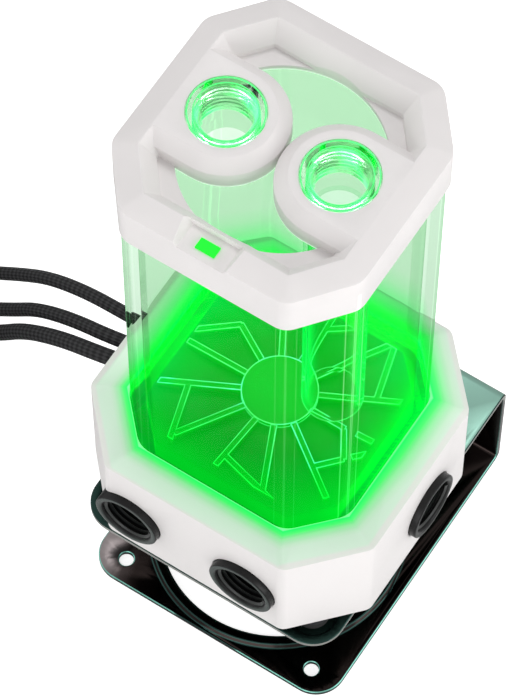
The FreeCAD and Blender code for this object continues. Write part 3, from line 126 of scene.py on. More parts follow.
def sizes():
    return bpy.context.scene.reservoir_sizes


def colour_of(name):
    """One of the user's colours as a plain tuple."""
    return tuple(getattr(bpy.context.scene.reservoir_colours, name))


def tinted(colour, by):
    return tuple(c * by for c in colour)


class Nodes:
    """The nodes of a material or of the world while they are made."""

    def __init__(self, holder):
        holder.use_nodes = True
        self.tree = holder.node_tree

    def add(self, kind, **settings):
        made = self.tree.nodes.new(kind)
        for key, value in settings.items():
            setattr(made, key, value)
        return made

    def feed(self, node, socket, value):
        """Gives a socket another node's output, a colour or a number."""
        if isinstance(value, bpy.types.NodeSocket):
            self.tree.links.new(value, node.inputs[socket])
        else:
            node.inputs[socket].default_value = (*value, 1) if isinstance(value, tuple) else value

    def maths(self, operation, first, second=0.0, third=0.0):
        made = self.add("ShaderNodeMath", operation=operation)
        for number, value in enumerate((first, second, third)):
            self.feed(made, number, value)
        return made.outputs[0]


# Every finish that has been made, by its name.
FINISHES = {}


class Finish(Nodes):
    """A material while it is made: its shader and the nodes that feed it."""

    def __init__(self, name, colour, rough, **sockets):
        self.material = bpy.data.materials.new(name)
        super().__init__(self.material)
        self.shader = next(n for n in self.tree.nodes if n.type == "BSDF_PRINCIPLED")
        self.spot = None
        self.give(Base_Color=colour, Roughness=rough, **sockets)
        FINISHES[name] = self.material

    def give(self, **sockets):
        """Feeds the shader's own sockets, whose names have _ for a space."""
        for socket, value in sockets.items():
            self.feed(self.shader, socket.replace("_", " "), value)

    def place(self, output="Object"):
        """Where on the object, or on the piece's own map, a point lies, or its normal."""
        if self.spot is None:
            self.spot = self.add("ShaderNodeTexCoord")
        return self.spot.outputs[output]

    def axes(self, output="Object"):
        """The three parts of a point's place or normal."""
        made = self.add("ShaderNodeSeparateXYZ")
        self.feed(made, 0, self.place(output))
        return made.outputs

    def noise(self, scale, detail, stretch=(1, 1, 1)):
        """Noise of so many spots a metre, drawn out along the axes by stretch."""
        turn = self.add("ShaderNodeMapping")
        turn.inputs["Scale"].default_value = stretch
        self.feed(turn, "Vector", self.place())
        made = self.add("ShaderNodeTexNoise")
        self.feed(made, "Scale", scale)
        self.feed(made, "Detail", detail)
        self.feed(made, "Vector", turn.outputs[0])
        return made.outputs["Fac"]

    def ramp(self, value, stops):
        """A colour for the value, between the colours of the stops."""
        made = self.add("ShaderNodeValToRGB")
        band = made.color_ramp
        while len(band.elements) < len(stops):
            band.elements.new(1.0)
        for element, (at, colour) in zip(band.elements, stops):
            element.position = at
            element.color = (*colour, 1)
        self.feed(made, 0, value)
        return made.outputs[0]

    def slide(self, value, start, end, low, high):
        """Runs evenly from low to high while the value goes from start to end, and stays there beyond."""
        made = self.add("ShaderNodeMapRange")
        for number, bound in enumerate((value, start, end, low, high)):
            self.feed(made, number, bound)
        return made.outputs[0]

    def grey(self, value, low, high):
        """A noise value turned into a plain number between low and high."""
        return self.slide(value, 0.3, 0.7, low, high)

    def mix(self, share, first, second, blend="MIX"):
        """Two colours as one, the second with the given share."""
        made = self.add("ShaderNodeMix", data_type="RGBA", blend_type=blend)
        self.feed(made, "Factor", share)
        self.feed(made, "A", first)
        self.feed(made, "B", second)
        return made.outputs["Result"]

    def facing(self):
        """How far the surface turns away from the eye: the depth of clear plastic seen edge on."""
        made = self.add("ShaderNodeLayerWeight")
        self.feed(made, "Blend", 0.5)
        return made.outputs["Facing"]

    def bump(self, height, distance, strength):
        made = self.add("ShaderNodeBump")
        self.feed(made, "Strength", strength)
        self.feed(made, "Distance", distance)
        self.feed(made, "Height", height)
        self.give(Normal=made.outputs[0])

    def length(self, across, along):
        """How far away something is that lies so far across and so far along."""
        square = self.maths("MULTIPLY_ADD", across, across, self.maths("MULTIPLY", along, along))
        return self.maths("SQRT", square)

    def beyond_opening(self):
        """How far a point lies outside the eight sides of the tank's opening, in plan."""
        x, y, _ = self.axes()
        wide, deep = self.maths("ABSOLUTE", x), self.maths("ABSOLUTE", y)
        slant = self.maths("MULTIPLY_ADD", deep, SLANT_Y, -SLANT_AT)
        slant = self.maths("MULTIPLY_ADD", wide, SLANT_X, slant)
        flat = self.maths("MAXIMUM", self.maths("SUBTRACT", wide, OPENING_X),
                          self.maths("SUBTRACT", deep, OPENING_Y))
        return self.maths("MAXIMUM", flat, slant)

    def near_corner(self, x, y):
        """How far a point of the tank lies from the nearest upright corner, as a share of the corner's reach."""
        wide, deep = self.maths("ABSOLUTE", x), self.maths("ABSOLUTE", y)
        gaps = [self.length(self.maths("SUBTRACT", wide, corner_x), self.maths("SUBTRACT", deep, corner_y))
                for corner_x, corner_y in CORNERS]
        return self.maths("MULTIPLY", self.maths("MINIMUM", *gaps), 1 / CORNER_REACH)


def satin_white(name):
    """Injection-moulded white plastic with a fine satin grain."""
    made = Finish(name, colour_of("moulding"), 0.46, IOR=1.48)
    made.give(Roughness=made.grey(made.noise(900, 2), 0.40, 0.52))
    made.bump(made.noise(5200, 2), mm(0.012), 0.5)
    return made


def moulded_white():
    """The cap's white plastic: a faint cloud in its colour, and pale light painted on its hidden faces over the
    tank.
    """
    made = satin_white("moulded_white")
    white = colour_of("moulding")
    # Painted light: a pale green glow on the cap's faces inside the tank's outline and below its window level.
    painted_inner_light = made.maths("MULTIPLY", made.slide(made.beyond_opening(), mm(0.2), mm(0.4), 1.0, 0.0),
                        made.slide(made.axes()[2], *CAP_INNER_LIGHT, 1.0, 0.0))
    made.give(
        Base_Color=made.ramp(made.noise(70, 2), [(0.3, tinted(white, 0.975)), (0.7, tinted(white, 1.02))]),
        Emission_Color=(0.36, 0.56, 0.40), Emission_Strength=painted_inner_light)


def lit_white():
    """The skirt's white plastic, with the green light of the ring painted on its slope beside the tank, and pale
    light painted on its slope at the back left.
    """
    made = satin_white("lit_white")
    glow = colour_of("glow")
    x, y, _ = made.axes()
    beyond = made.maths("MULTIPLY", made.beyond_opening(), 1 / SLOPE)
    reach = made.slide(made.maths("MULTIPLY_ADD", x, 0.35, y), mm(-9.0), mm(12.0), 1.0, 0.6)
    away = made.maths("MULTIPLY", beyond, reach)
    # Painted light: the ring's green glow laid on the white slope as colour and as emission, fading away from the
    # opening.
    colour_with_painted_glow = made.ramp(away, [
        (0.0, (0.10, 0.80, 0.22)), (0.03, (0.0, 0.62, 0.12)), (0.12, (0.10, 0.72, 0.20)),
        (0.22, (0.40, 0.80, 0.47)), (0.36, (0.67, 0.84, 0.69)), (0.45, (0.74, 0.85, 0.76))])
    ring_light = made.ramp(away, [
        (0.0, (0.16, 0.55, 0.22)), (0.03, tinted(glow, 0.75)), (0.09, tinted(glow, 0.55)),
        (0.18, tinted(glow, 0.22)), (0.30, tinted(glow, 0.04)), (0.42, BLACK)])
    # Painted light: a pale glow on the back-left slope, lifting the shade that the glass tank casts there.
    painted_light_behind = made.maths(
        "MULTIPLY", made.slide(made.maths("SUBTRACT", y, x), mm(14.0), mm(30.0), 0.0, 0.22),
        made.slide(beyond, 0.70, 0.80, 1.0, 0.0))
    made.give(
        Base_Color=made.mix(made.slide(beyond, 0.74, 0.81, 0.0, 1.0), colour_with_painted_glow, colour_of("moulding")),
        Emission_Color=made.mix(painted_light_behind, ring_light, (0.85, 1.0, 0.87), "ADD"), Emission_Strength=1.0)


def clear_plastic():
    """The tank's polished acrylic: the ring's green light painted at its foot, deeper green seen edge on, and
    painted lines of light in its corners.
    """
    clear, glow = colour_of("clear"), colour_of("glow")
    made = Finish("clear_plastic", clear, 0.0, IOR=1.001, Transmission_Weight=1.0, Coat_Weight=0.03)
    x, y, up = made.axes()
    height = made.maths("MULTIPLY", made.maths("SUBTRACT", up, TANK_FOOT), 1 / TANK_RISE)
    corner = made.near_corner(x, y)
    # Painted light: the ring's green glow in the colour at the foot, fading into the acrylic's own tint.
    colour_with_painted_glow = made.ramp(height, [
        (0.0, (0.0, 0.72, 0.05)), (0.10, (0.0, 0.82, 0.12)), (0.20, (0.14, 0.86, 0.26)),
        (0.34, tinted(clear, 0.96)), (1.0, clear)])
    # Painted reflection: paler bands in the colour near the upright corners.
    rounded = made.ramp(corner, [
        (0.14, (0.98, 1.0, 0.98)), (0.26, (0.90, 0.98, 0.92)), (0.76, (0.94, 0.99, 0.95)), (0.86, WHITE)])
    edge_on = made.ramp(made.facing(), [
        (0.80, WHITE), (0.89, (0.60, 0.76, 0.62)), (0.95, (0.46, 0.64, 0.48)), (0.985, (0.10, 0.32, 0.18))])
    # Painted light: the ring's glow as emission at the foot and along the flange, stronger to the back.
    foot = made.ramp(height, [
        (0.05, tinted(glow, 0.95)), (0.12, tinted(glow, 0.62)), (0.18, tinted(glow, 0.26)),
        (0.28, tinted(glow, 0.05)), (0.36, BLACK)])
    side = made.slide(made.maths("MULTIPLY_ADD", x, -0.2, y), mm(-30.0), mm(8.0), 0.20, 0.58)
    flange = made.maths("MULTIPLY", made.slide(up, *FLANGE_TOP, 0.85, 0.0),
                        made.slide(y, mm(-20.0), 0.0, 0.35, 1.0))
    risen = made.mix(1.0, foot, made.maths("MAXIMUM", side, flange), "MULTIPLY")
    # Painted highlights: pale lines of light along the upright corners, fainter at the front and back corners.
    line = made.ramp(height, [
        (0.0, (0.02, 0.50, 0.12)), (0.30, (0.10, 0.52, 0.20)), (0.55, (0.34, 0.46, 0.36))])
    lines = made.ramp(corner, [
        (0.13, BLACK), (0.16, (0.6, 0.6, 0.6)), (0.20, (0.05, 0.05, 0.05)), (0.72, BLACK),
        (0.80, (0.55, 0.55, 0.55)), (0.86, BLACK)])
    faint = made.slide(made.maths("ABSOLUTE", x), mm(22.0), mm(26.0), 0.25, 1.0)
    made.give(
        Base_Color=made.mix(1.0, made.mix(1.0, colour_with_painted_glow, rounded, "MULTIPLY"), edge_on, "MULTIPLY"),
        Emission_Color=made.mix(made.maths("MULTIPLY", lines, faint), risen, line), Emission_Strength=1.0,
        Roughness=made.grey(made.noise(60, 2), 0.0, 0.02))


def tube_plastic():
    """The drop tube: clear, with the ring's light running up in its wall and showing at its sides."""
    made = Finish("tube_plastic", (0.80, 0.97, 0.84), 0.0, IOR=1.02, Transmission_Weight=1.0, Coat_Weight=0.05)
    facing = made.facing()
    risen = made.slide(made.axes()[2], *TUBE_LIGHT, 0.95, 0.08)
    made.give(
        Base_Color=made.ramp(facing, [
            (0.55, (0.86, 0.99, 0.90)), (0.80, (0.50, 0.92, 0.60)), (0.97, (0.20, 0.80, 0.36))]),
        Emission_Color=made.ramp(facing, [
            (0.60, BLACK), (0.80, (0.0, 0.42, 0.06)), (0.94, (0.0, 0.80, 0.13))]),
        Emission_Strength=made.maths("MULTIPLY", risen, made.grey(made.noise(70, 2), 0.7, 1.1)))


def neck_plastic():
    """The clear lid and its necks, a shade deeper than the tank."""
    made = Finish("neck_plastic", (0.64, 0.85, 0.67), 0.0, IOR=1.03, Transmission_Weight=1.0, Coat_Weight=0.12)
    made.give(Roughness=made.grey(made.noise(80, 2), 0.0, 0.03))


def neck_ridge():
    """The clear thread in the lid's necks: glassy, with painted green light caught along some of each turn."""
    made = Finish("neck_ridge", (0.70, 0.95, 0.74), 0.05, IOR=1.2, Transmission_Weight=0.9, Coat_Weight=0.6)
    made.give(
        Emission_Color=made.ramp(made.noise(130, 3), [(0.42, (0.0, 0.04, 0.01)), (0.60, (0.02, 0.75, 0.14))]),
        Emission_Strength=0.8)


def glowing_floor():
    """The ribbed tank floor: frosted plastic lit through from the ring, deepest green at the middle."""
    made = Finish("glowing_floor", (0.0, 0.06, 0.01), 0.2, Specular_IOR_Level=0.05)
    x, y, up = made.axes()
    spread = made.maths("ADD", made.maths("MULTIPLY", made.length(x, y), 1 / mm(34.0)),
                        made.maths("MULTIPLY_ADD", made.noise(45, 2), 0.5, -0.25))
    made.give(
        Emission_Color=made.ramp(spread, [
            (0.0, (0.0, 0.48, 0.012)), (0.45, (0.0, 0.47, 0.008)), (0.75, (0.0, 0.62, 0.03)),
            (1.0, (0.0, 0.80, 0.08))]),
        Emission_Strength=made.maths("MULTIPLY", made.slide(y, mm(-26.0), mm(-2.0), 0.62, 1.0),
                                     made.slide(up, *RIB_BLEND, 1.0, 1.3)))
    made.bump(made.noise(300, 3), mm(0.05), 0.4)


def caught_light(name, colour, strength, glint=None):
    """A polished edge that carries the ring's light, with a glint of another colour here and there."""
    made = Finish(name, (0.1, 0.6, 0.2), 0.15, Emission_Color=colour)
    if glint:
        made.give(Emission_Color=made.ramp(made.noise(75, 2), [(0.58, colour), (0.66, glint)]))
    made.give(Emission_Strength=made.grey(made.noise(160, 2), strength * 0.45, strength * 1.2))


def board_lit():
    """The ring board under the tank's edge, flooded by its own lights."""
    made = Finish("board_lit", (0.02, 0.30, 0.06), 0.5, Specular_IOR_Level=0.1)
    made.give(
        Emission_Color=made.ramp(made.noise(220, 3), [(0.35, (0.0, 0.78, 0.07)), (0.65, (0.0, 0.88, 0.09))]),
        Emission_Strength=1.0)
    made.bump(made.noise(1300, 2), mm(0.02), 0.4)


def lamp_face():
    """The windows of the ring's lights and of the brow's small indicator."""
    made = Finish("lamp_face", (0.0, 0.2, 0.01), 0.3, Emission_Color=(0.0, 0.95, 0.02), Specular_IOR_Level=0.1)
    made.give(Emission_Strength=made.grey(made.noise(2500, 1), 0.75, 1.1))


def black_chrome():
    """Dark mirror plating with painted reflections: teal on the shelf and darker to its front, pale on its edges,
    almost black below and paler towards the left end.
    """
    teal = colour_of("chrome")
    made = Finish("black_chrome", teal, 0.2, Metallic=1.0)
    x, y, up = made.axes()
    # Painted reflection on the shelf: dark to the front, teal to the back, and pale grey on its upright faces.
    on_edge = made.slide(made.maths("ABSOLUTE", made.axes("Normal")[2]), 0.4, 0.6, 1.0, 0.0)
    shelf = made.mix(on_edge, made.ramp(made.slide(y, mm(-20.0), mm(20.0), 0.0, 1.0), [
        (0.0, (0.018, 0.040, 0.034)), (1.0, teal)]), (0.42, 0.42, 0.40))
    # Painted reflection on the floor plate: near black, paler towards its left end.
    to_left = made.maths("MULTIPLY_ADD", made.maths("MULTIPLY_ADD", y, 0.25, x), -1 / mm(20.0), -1.0)
    low = made.ramp(to_left, [
        (0.50, (0.020, 0.015, 0.014)), (0.66, (0.05, 0.04, 0.039)), (0.86, (0.20, 0.175, 0.175)),
        (1.0, (0.22, 0.195, 0.195))])
    raised = made.slide(up, *SHELF_UNDER, 0.0, 1.0)
    grain = made.grey(made.noise(120, 3), 0.14, 0.22)
    rougher_to_left = made.slide(x, mm(-27.0), mm(-20.0), 0.16, 0.0)
    made.give(
        Base_Color=made.mix(raised, low, shelf),
        Roughness=made.maths("ADD", rougher_to_left, made.maths("MULTIPLY_ADD", raised, 0.22, grain)))


def chrome_edge():
    """The tumbled rim of the plated sheet, with painted highlights: bright teal round the floor plate, dark at its
    window and the shelf.
    """
    made = Finish("chrome_edge", (0.16, 0.38, 0.32), 0.3, Metallic=1.0)
    x, y, up = made.axes()
    shade = made.maths("MAXIMUM", made.maths("MULTIPLY", up, 1 / mm(40.0)),
                       made.slide(made.length(x, y), mm(33.0), mm(33.5), 0.9, 0.0))
    made.give(
        Base_Color=made.ramp(shade, [
            (0.10, (0.17, 0.42, 0.35)), (0.30, (0.06, 0.13, 0.11)), (0.80, (0.02, 0.045, 0.04))]),
        Roughness=made.grey(made.noise(300, 2), 0.22, 0.36))


def port_black(name, axis, face):
    """Satin black anodised collar with turning marks, and a paler painted light on the face across its axis."""
    wall = (0.008, 0.008, 0.008)
    made = Finish(name, wall, 0.34, IOR=1.28)
    made.give(
        Base_Color=made.ramp(made.maths("ABSOLUTE", made.axes("Normal")[axis]), [(0.80, wall), (0.97, face)]),
        Roughness=made.grey(made.noise(2200, 2), 0.26, 0.40))
    made.bump(made.noise(3000, 2), mm(0.01), 0.6)


def dull_black(name, colour, rough, grain):
    """Moulded black plastic or rubber with a fine grain."""
    made = Finish(name, colour, rough)
    made.give(Base_Color=made.ramp(made.noise(160, 2), [(0.3, tinted(colour, 0.85)), (0.7, tinted(colour, 1.2))]))
    made.bump(made.noise(grain, 2), mm(0.02), 0.6)


def lit_black():
    """Black plastic and rubber under the tank's foot, with the ring's light lying on their tops."""
    made = Finish("lit_black", (0.022, 0.022, 0.024), 0.5, Emission_Color=(0.0, 0.95, 0.08))
    _, y, up = made.axes()
    flood = made.maths("MULTIPLY", made.grey(made.noise(90, 2), 0.50, 0.64), made.slide(up, *PUMP_TOP, 0.0, 1.0))
    made.give(Emission_Strength=made.maths("MULTIPLY", flood, made.slide(y, mm(-22.0), mm(-4.0), 0.45, 1.0)))
    made.bump(made.noise(3200, 2), mm(0.02), 0.6)


def metal(name, colour, rough, stretch=(1, 1, 1), scale=900):
    """Bare or plated metal with fine drawn marks."""
    made = Finish(name, colour, rough, Metallic=1.0)
    made.give(Roughness=made.grey(made.noise(scale, 3, stretch), rough * 0.75, rough * 1.3))
    made.bump(made.noise(scale, 3, stretch), mm(0.01), 0.4)


def grained(name, colour, other, rough, scale):
    """Plastic, ceramic or board with two close tones."""
    made = Finish(name, colour, rough)
    made.give(Base_Color=made.ramp(made.noise(scale, 3), [(0.35, colour), (0.65, other)]))
    made.bump(made.noise(scale * 6, 2), mm(0.02), 0.4)


def braid(name, length):
    """Woven sleeve: two crossing spirals of flat bundles, drawn on the sleeve's own map."""
    made = Finish(name, (0.012, 0.012, 0.013), 0.6, Specular_IOR_Level=0.2)
    split = made.axes("UV")
    along = made.maths("MULTIPLY", split[0], length / mm(2.3))
    around = made.maths("MULTIPLY", split[1], 7.0)
    waves = []
    for sign in (1.0, -1.0):
        phase = made.maths("MULTIPLY_ADD", around, sign, along)
        waves.append(made.maths("SINE", made.maths("MULTIPLY", phase, 2 * math.pi)))
    level = made.maths("MULTIPLY_ADD", made.maths("MULTIPLY", *waves), 0.5, 0.5)
    made.give(Base_Color=made.ramp(level, [(0.25, (0.004, 0.004, 0.0045)), (0.8, (0.035, 0.035, 0.037))]))
    made.bump(level, mm(0.16), 0.9)
    return made.material


def make_finishes():
    """Every finish that more than one piece may use. The leads' sleeves are made with the leads."""
    for make in (moulded_white, lit_white, clear_plastic, neck_plastic, tube_plastic, glowing_floor, neck_ridge,
                 black_chrome, chrome_edge, lit_black, board_lit, lamp_face):
        make()
    caught_light("rib_light", (0.04, 0.80, 0.20), 1.0, (0.10, 0.95, 0.80))
    caught_light("neck_light", (0.02, 0.85, 0.12), 0.9)
    caught_light("tube_light", (0.02, 0.80, 0.12), 0.7)
    # The collars' faces carry painted light: paler on the two front ports, barely on the side port.
    port_black("port_front", 1, (0.050, 0.062, 0.058))
    port_black("port_side", 0, (0.010, 0.012, 0.011))
    dull_black("port_bore", (0.010, 0.012, 0.011), 0.3, 2600)
    dull_black("dull_plastic", (0.022, 0.022, 0.024), 0.5, 3200)
    dull_black("rubber", (0.014, 0.014, 0.014), 0.75, 1800)
    dull_black("tie_plastic", (0.03, 0.03, 0.03), 0.4, 900)
    metal("black_screw", (0.10, 0.10, 0.105), 0.3)
    metal("plated_steel", (0.62, 0.62, 0.63), 0.25)
    metal("shaft_steel", (0.68, 0.68, 0.70), 0.15, (1, 1, 12))
    metal("laminated_steel", (0.32, 0.32, 0.33), 0.4, (1, 1, 40), 120)
    metal("copper", (0.78, 0.36, 0.18), 0.3, (1, 1, 20), 300)
    grained("board_green", (0.02, 0.16, 0.06), (0.03, 0.20, 0.08), 0.4, 220)
    grained("carbon", (0.05, 0.05, 0.05), (0.08, 0.08, 0.085), 0.5, 600)
    grained("magnet", (0.06, 0.06, 0.065), (0.09, 0.09, 0.095), 0.6, 500)
    grained("grey_plastic", (0.20, 0.20, 0.21), (0.24, 0.24, 0.25), 0.45, 150)


# The frame nodes that each finish goes on, also where a rounded copy stands for the node.
NODES_WITH = {
    "moulded_white": ["top_cover"],
    "lit_white": ["base_cover"],
    "clear_plastic": ["tank_wall"],
    "neck_plastic": ["tank_lid"],
    "tube_plastic": ["drop_tube"],
    "glowing_floor": ["floor_plate"],
    "lamp_face": ["board_lights", "indicator_lens"],
    "board_lit": ["light_board"],
    "black_chrome": ["bracket"],
    "port_front": ["front_left_port", "front_right_port"],
    "port_side": ["side_port"],
    "dull_plastic": ["pump_bottom_cover", "pump_housing", "power_plug", "speed_plug", "light_plug"],
    "lit_black": ["manifold", "tank_seal"],
    "rubber": ["pump_pads", "volute_seal", "lead_grommet"],
    "black_screw": ["bracket_screws"],
    "plated_steel": ["pump_screws", "tank_screws"],
    "shaft_steel": ["pump_shaft"],
    "laminated_steel": ["stator_core"],
    "copper": ["stator_coils"],
    "board_green": ["pump_board"],
    "carbon": ["rotor_bearing"],
    "magnet": ["rotor_magnet"],
    "grey_plastic": ["impeller"],
}


# Modelling helpers.
def only(piece=None):
    """Leaves one piece selected and active, or nothing."""
    if bpy.context.object and bpy.context.object.mode != "OBJECT":
        bpy.ops.object.mode_set(mode="OBJECT")
    bpy.ops.object.select_all(action="DESELECT")
    if piece is not None:
        piece.select_set(True)
        bpy.context.view_layer.objects.active = piece


def named(piece, name):
    """Names the piece and its mesh."""
    piece.name = name
    piece.data.name = name
    return piece


def settle(piece, finish, replaced=()):
    """Puts the piece's place into its mesh, and gives it its finish and its body."""
    only(piece)
    bpy.ops.object.transform_apply(location=True, rotation=True, scale=True)
    piece.data.materials.clear()
    piece.data.materials.append(FINISHES[finish])
    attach(piece, BODY)
    if replaced:
        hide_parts(*replaced)
    return piece


def apply_all(piece):
    """Applies the piece's modifiers in their order."""
    only(piece)
    for modifier in list(piece.modifiers):
        bpy.ops.object.modifier_apply(modifier=modifier.name)


def pick(piece, kind, wanted):
    """Goes to edit mode and selects the vertices or faces that wanted says yes to."""
    bpy.ops.object.mode_set(mode="EDIT")
    bpy.ops.mesh.select_mode(type=kind)
    bpy.ops.mesh.select_all(action="DESELECT")
    bpy.ops.object.mode_set(mode="OBJECT")
    for part in piece.data.polygons if kind == "FACE" else piece.data.vertices:
        part.select = wanted(part)
    bpy.ops.object.mode_set(mode="EDIT")


def merged_copy(node, name, cuts=()):
    """A copy of a frame node with its triangles joined into flat faces, which end at the planes of cuts."""
    made = bpy.data.objects.new(name, NODES[node].data.copy())
    bpy.context.scene.collection.objects.link(made)
    named(made, name)
    only(made)
    bpy.ops.object.mode_set(mode="EDIT")
    bpy.ops.mesh.select_all(action="SELECT")
    bpy.ops.mesh.remove_doubles(threshold=mm(0.002))
    for through, across in cuts:
        bpy.ops.mesh.select_all(action="SELECT")
        bpy.ops.mesh.bisect(plane_co=through, plane_no=across)
        bpy.ops.mesh.mark_seam()
    bpy.ops.mesh.select_all(action="SELECT")
    bpy.ops.mesh.dissolve_limited(angle_limit=math.radians(0.6), delimit={"SEAM"})
    bpy.ops.mesh.vert_connect_concave()
    bpy.ops.object.mode_set(mode="OBJECT")
    return made


def soften(piece, width, angle, segments, rim=-1):
    """Rounds the piece's sharp edges, with its flat faces shaded flat. Rim is the rounds' own finish."""
    only(piece)
    bpy.ops.object.shade_smooth()
    made = piece.modifiers.new("Edges", "BEVEL")
    made.width = width
    made.segments = segments
    made.limit_method = "ANGLE"
    made.angle_limit = math.radians(angle)
    made.use_clamp_overlap = True
    made.harden_normals = True
    made.material = rim
    apply_all(piece)
    return piece


def turn_to(piece, axis, at):
    """Turns a piece that was made along +Z to point along axis, and moves it there."""
    piece.rotation_mode = "QUATERNION"
    piece.rotation_quaternion = Vector(axis).to_track_quat("Z", "Y")
    piece.location = at


# The thread of a port: its bore, its turns, the ridge's width to its depth, and the segments of a turn.
BORE, THREAD_TURNS, RIDGE_WIDTH, THREAD_STEPS = mm(6.5), 7, 0.62, 40


def thread(name, axis, mouth, finish):
    """An inside thread: one ridge wound down a bore from its mouth."""
    pitch = sizes().thread_pitch
    only()
    bpy.ops.mesh.primitive_circle_add(
        vertices=4, radius=sizes().thread_depth, location=(0, 0, 0), rotation=(math.pi / 2, 0, 0))
    made = named(bpy.context.object, name)
    bpy.ops.object.transform_apply(rotation=True)
    bpy.ops.object.mode_set(mode="EDIT")
    bpy.ops.mesh.select_all(action="SELECT")
    bpy.ops.transform.resize(value=(1, 1, RIDGE_WIDTH))
    bpy.ops.transform.translate(value=(BORE, 0, -pitch * (THREAD_TURNS + 0.6)))
    bpy.ops.object.mode_set(mode="OBJECT")
    wound = made.modifiers.new("Wind", "SCREW")
    wound.axis = "Z"
    wound.screw_offset = pitch
    wound.iterations = THREAD_TURNS
    wound.steps = THREAD_STEPS
    wound.render_steps = THREAD_STEPS
    apply_all(made)
    bpy.ops.object.mode_set(mode="EDIT")
    bpy.ops.mesh.select_all(action="DESELECT")
    bpy.ops.mesh.select_non_manifold()
    bpy.ops.mesh.edge_face_add()
    bpy.ops.mesh.select_all(action="SELECT")
    bpy.ops.mesh.normals_make_consistent(inside=False)
    bpy.ops.object.mode_set(mode="OBJECT")
    bpy.ops.object.shade_smooth_by_angle(angle=math.radians(35))
    turn_to(made, axis, mouth)
    return settle(made, finish)


def lit_ring(name, radius, thick, at, finish):
    """A thin flat-lying bead of light round a neck or the tube's end."""
    only()
    bpy.ops.mesh.primitive_torus_add(
        major_radius=radius, minor_radius=thick, major_segments=72, minor_segments=10, location=(0, 0, 0))
    made = named(bpy.context.object, name)
    bpy.ops.object.shade_smooth()
    turn_to(made, UP, at)
    return settle(made, finish)


# Leads: the points of each route, the coil that the rest is wound in, and the plug's back.
LEADS = {
    "power": {
        "radius": mm(2.0), "turns": 2.2, "side": 1, "centre": mm(-98.518, -23.223), "coil": mm(22.0),
        "start": 107.14, "plug": mm(-120.515, -22.892, 15.3),
        "route": [
            (-39.0, 2.4, 40.5), (-50.5, 0.6, 39.6), (-62.5, 1.3, 34.0), (-74.5, 2.5, 24.0), (-83.0, 3.0, 13.0),
            (-93.0, 1.5, 5.0), (-105.0, -2.2, 2.3)]},
    "speed": {
        "radius": mm(1.75), "turns": 2.86, "side": 1, "centre": mm(-145.416, -12.991), "coil": mm(19.0),
        "start": 91.76, "plug": mm(-131.155, -0.435, 13.5),
        "route": [
            (-39.0, 7.5, 40.5), (-50.5, 5.6, 40.0), (-62.5, 6.7, 35.0), (-74.5, 8.2, 26.0), (-83.5, 9.4, 14.5),
            (-94.0, 9.0, 5.0), (-107.0, 8.0, 2.1), (-120.0, 7.4, 2.0), (-133.0, 6.4, 2.1),
            (-146.0, 6.0, 2.0)]},
    "light": {
        "radius": mm(1.7), "turns": 2.86, "side": -1, "centre": mm(-132.693, 32.223), "coil": mm(18.7),
        "start": -84.81, "plug": mm(-117.264, 21.657, 12.8),
        "route": [
            (-39.0, 12.6, 40.5), (-51.5, 12.8, 39.8), (-63.5, 14.0, 36.5), (-75.4, 15.2, 30.0),
            (-86.0, 17.0, 18.5), (-97.0, 17.5, 7.5), (-109.0, 16.5, 2.2), (-120.0, 14.6, 2.0),
            (-131.0, 13.6, 2.1)]},
}
LEAD_LENGTHS = {"power": 0.377, "speed": 0.456, "light": 0.436}

# The coils: control points to a turn, how many of the last run to the plug's height, and the height of the first
# turn and of each turn above the last, in radii of the lead.
COIL_POINTS, COIL_END = 14, 4
COIL_BASE, COIL_STEP = 1.15, 2.06
# Where on the coil its tie sits, as an angle from the start and as a share of a turn.
TIE_ANGLE, TIE_SHARE = math.radians(130), 0.36


def on_coil(lead, angle):
    """The point at an angle on the coil's middle line, in plan."""
    x, y = lead["centre"]
    return x + lead["coil"] * math.cos(angle), y + lead["coil"] * math.sin(angle)


def lead_points(lead):
    """The route, the coil's turns and the way into the plug, as control points."""
    radius, side, turns = lead["radius"], lead["side"], lead["turns"]
    start = math.radians(lead["start"])
    steps = round(turns * COIL_POINTS)
    plug = Vector(lead["plug"])
    last = start + side * turns * 2 * math.pi
    heading = Vector((-math.sin(last), math.cos(last), 0)) * side
    points = [mm(*p) for p in lead["route"]]
    for step in range(1, steps - 1):
        rise = radius * (COIL_BASE + COIL_STEP * turns * step / steps)
        left = (steps - step) / COIL_END
        if left < 1:
            rise = rise * left + plug.z * (1 - left)
        points.append((*on_coil(lead, start + side * turns * 2 * math.pi * step / steps), rise))
    points.append(tuple(plug - heading * radius * 2.2))
    points.append(tuple(plug))
    return points


def lead_curve(word, lead):
    """One lead as a smooth spline with a round section."""
    points = lead_points(lead)
    line = bpy.data.curves.new(word + "_lead_braid", "CURVE")
    line.dimensions = "3D"
    spline = line.splines.new("NURBS")
    spline.points.add(len(points) - 1)
    for spot, point in zip(spline.points, points):
        spot.co = (*point, 1)
    spline.order_u = 3
    spline.use_endpoint_u = True
    spline.resolution_u = 8
    line.bevel_depth = lead["radius"]
    line.bevel_resolution = 6
    line.use_fill_caps = True
    made = bpy.data.objects.new(word + "_lead_braid", line)
    bpy.context.scene.collection.objects.link(made)
    return made


class RESERVOIR_OT_finishes(bpy.types.Operator):
    """Make the finishes and give each frame node its own"""
    bl_idname = "reservoir.finishes"
    bl_label = "Finishes"

    def execute(self, context):
        make_finishes()
        for finish, nodes in NODES_WITH.items():
            for node in nodes:
                NODES[node].data.materials.clear()
                NODES[node].data.materials.append(FINISHES[finish])
        return {"FINISHED"}


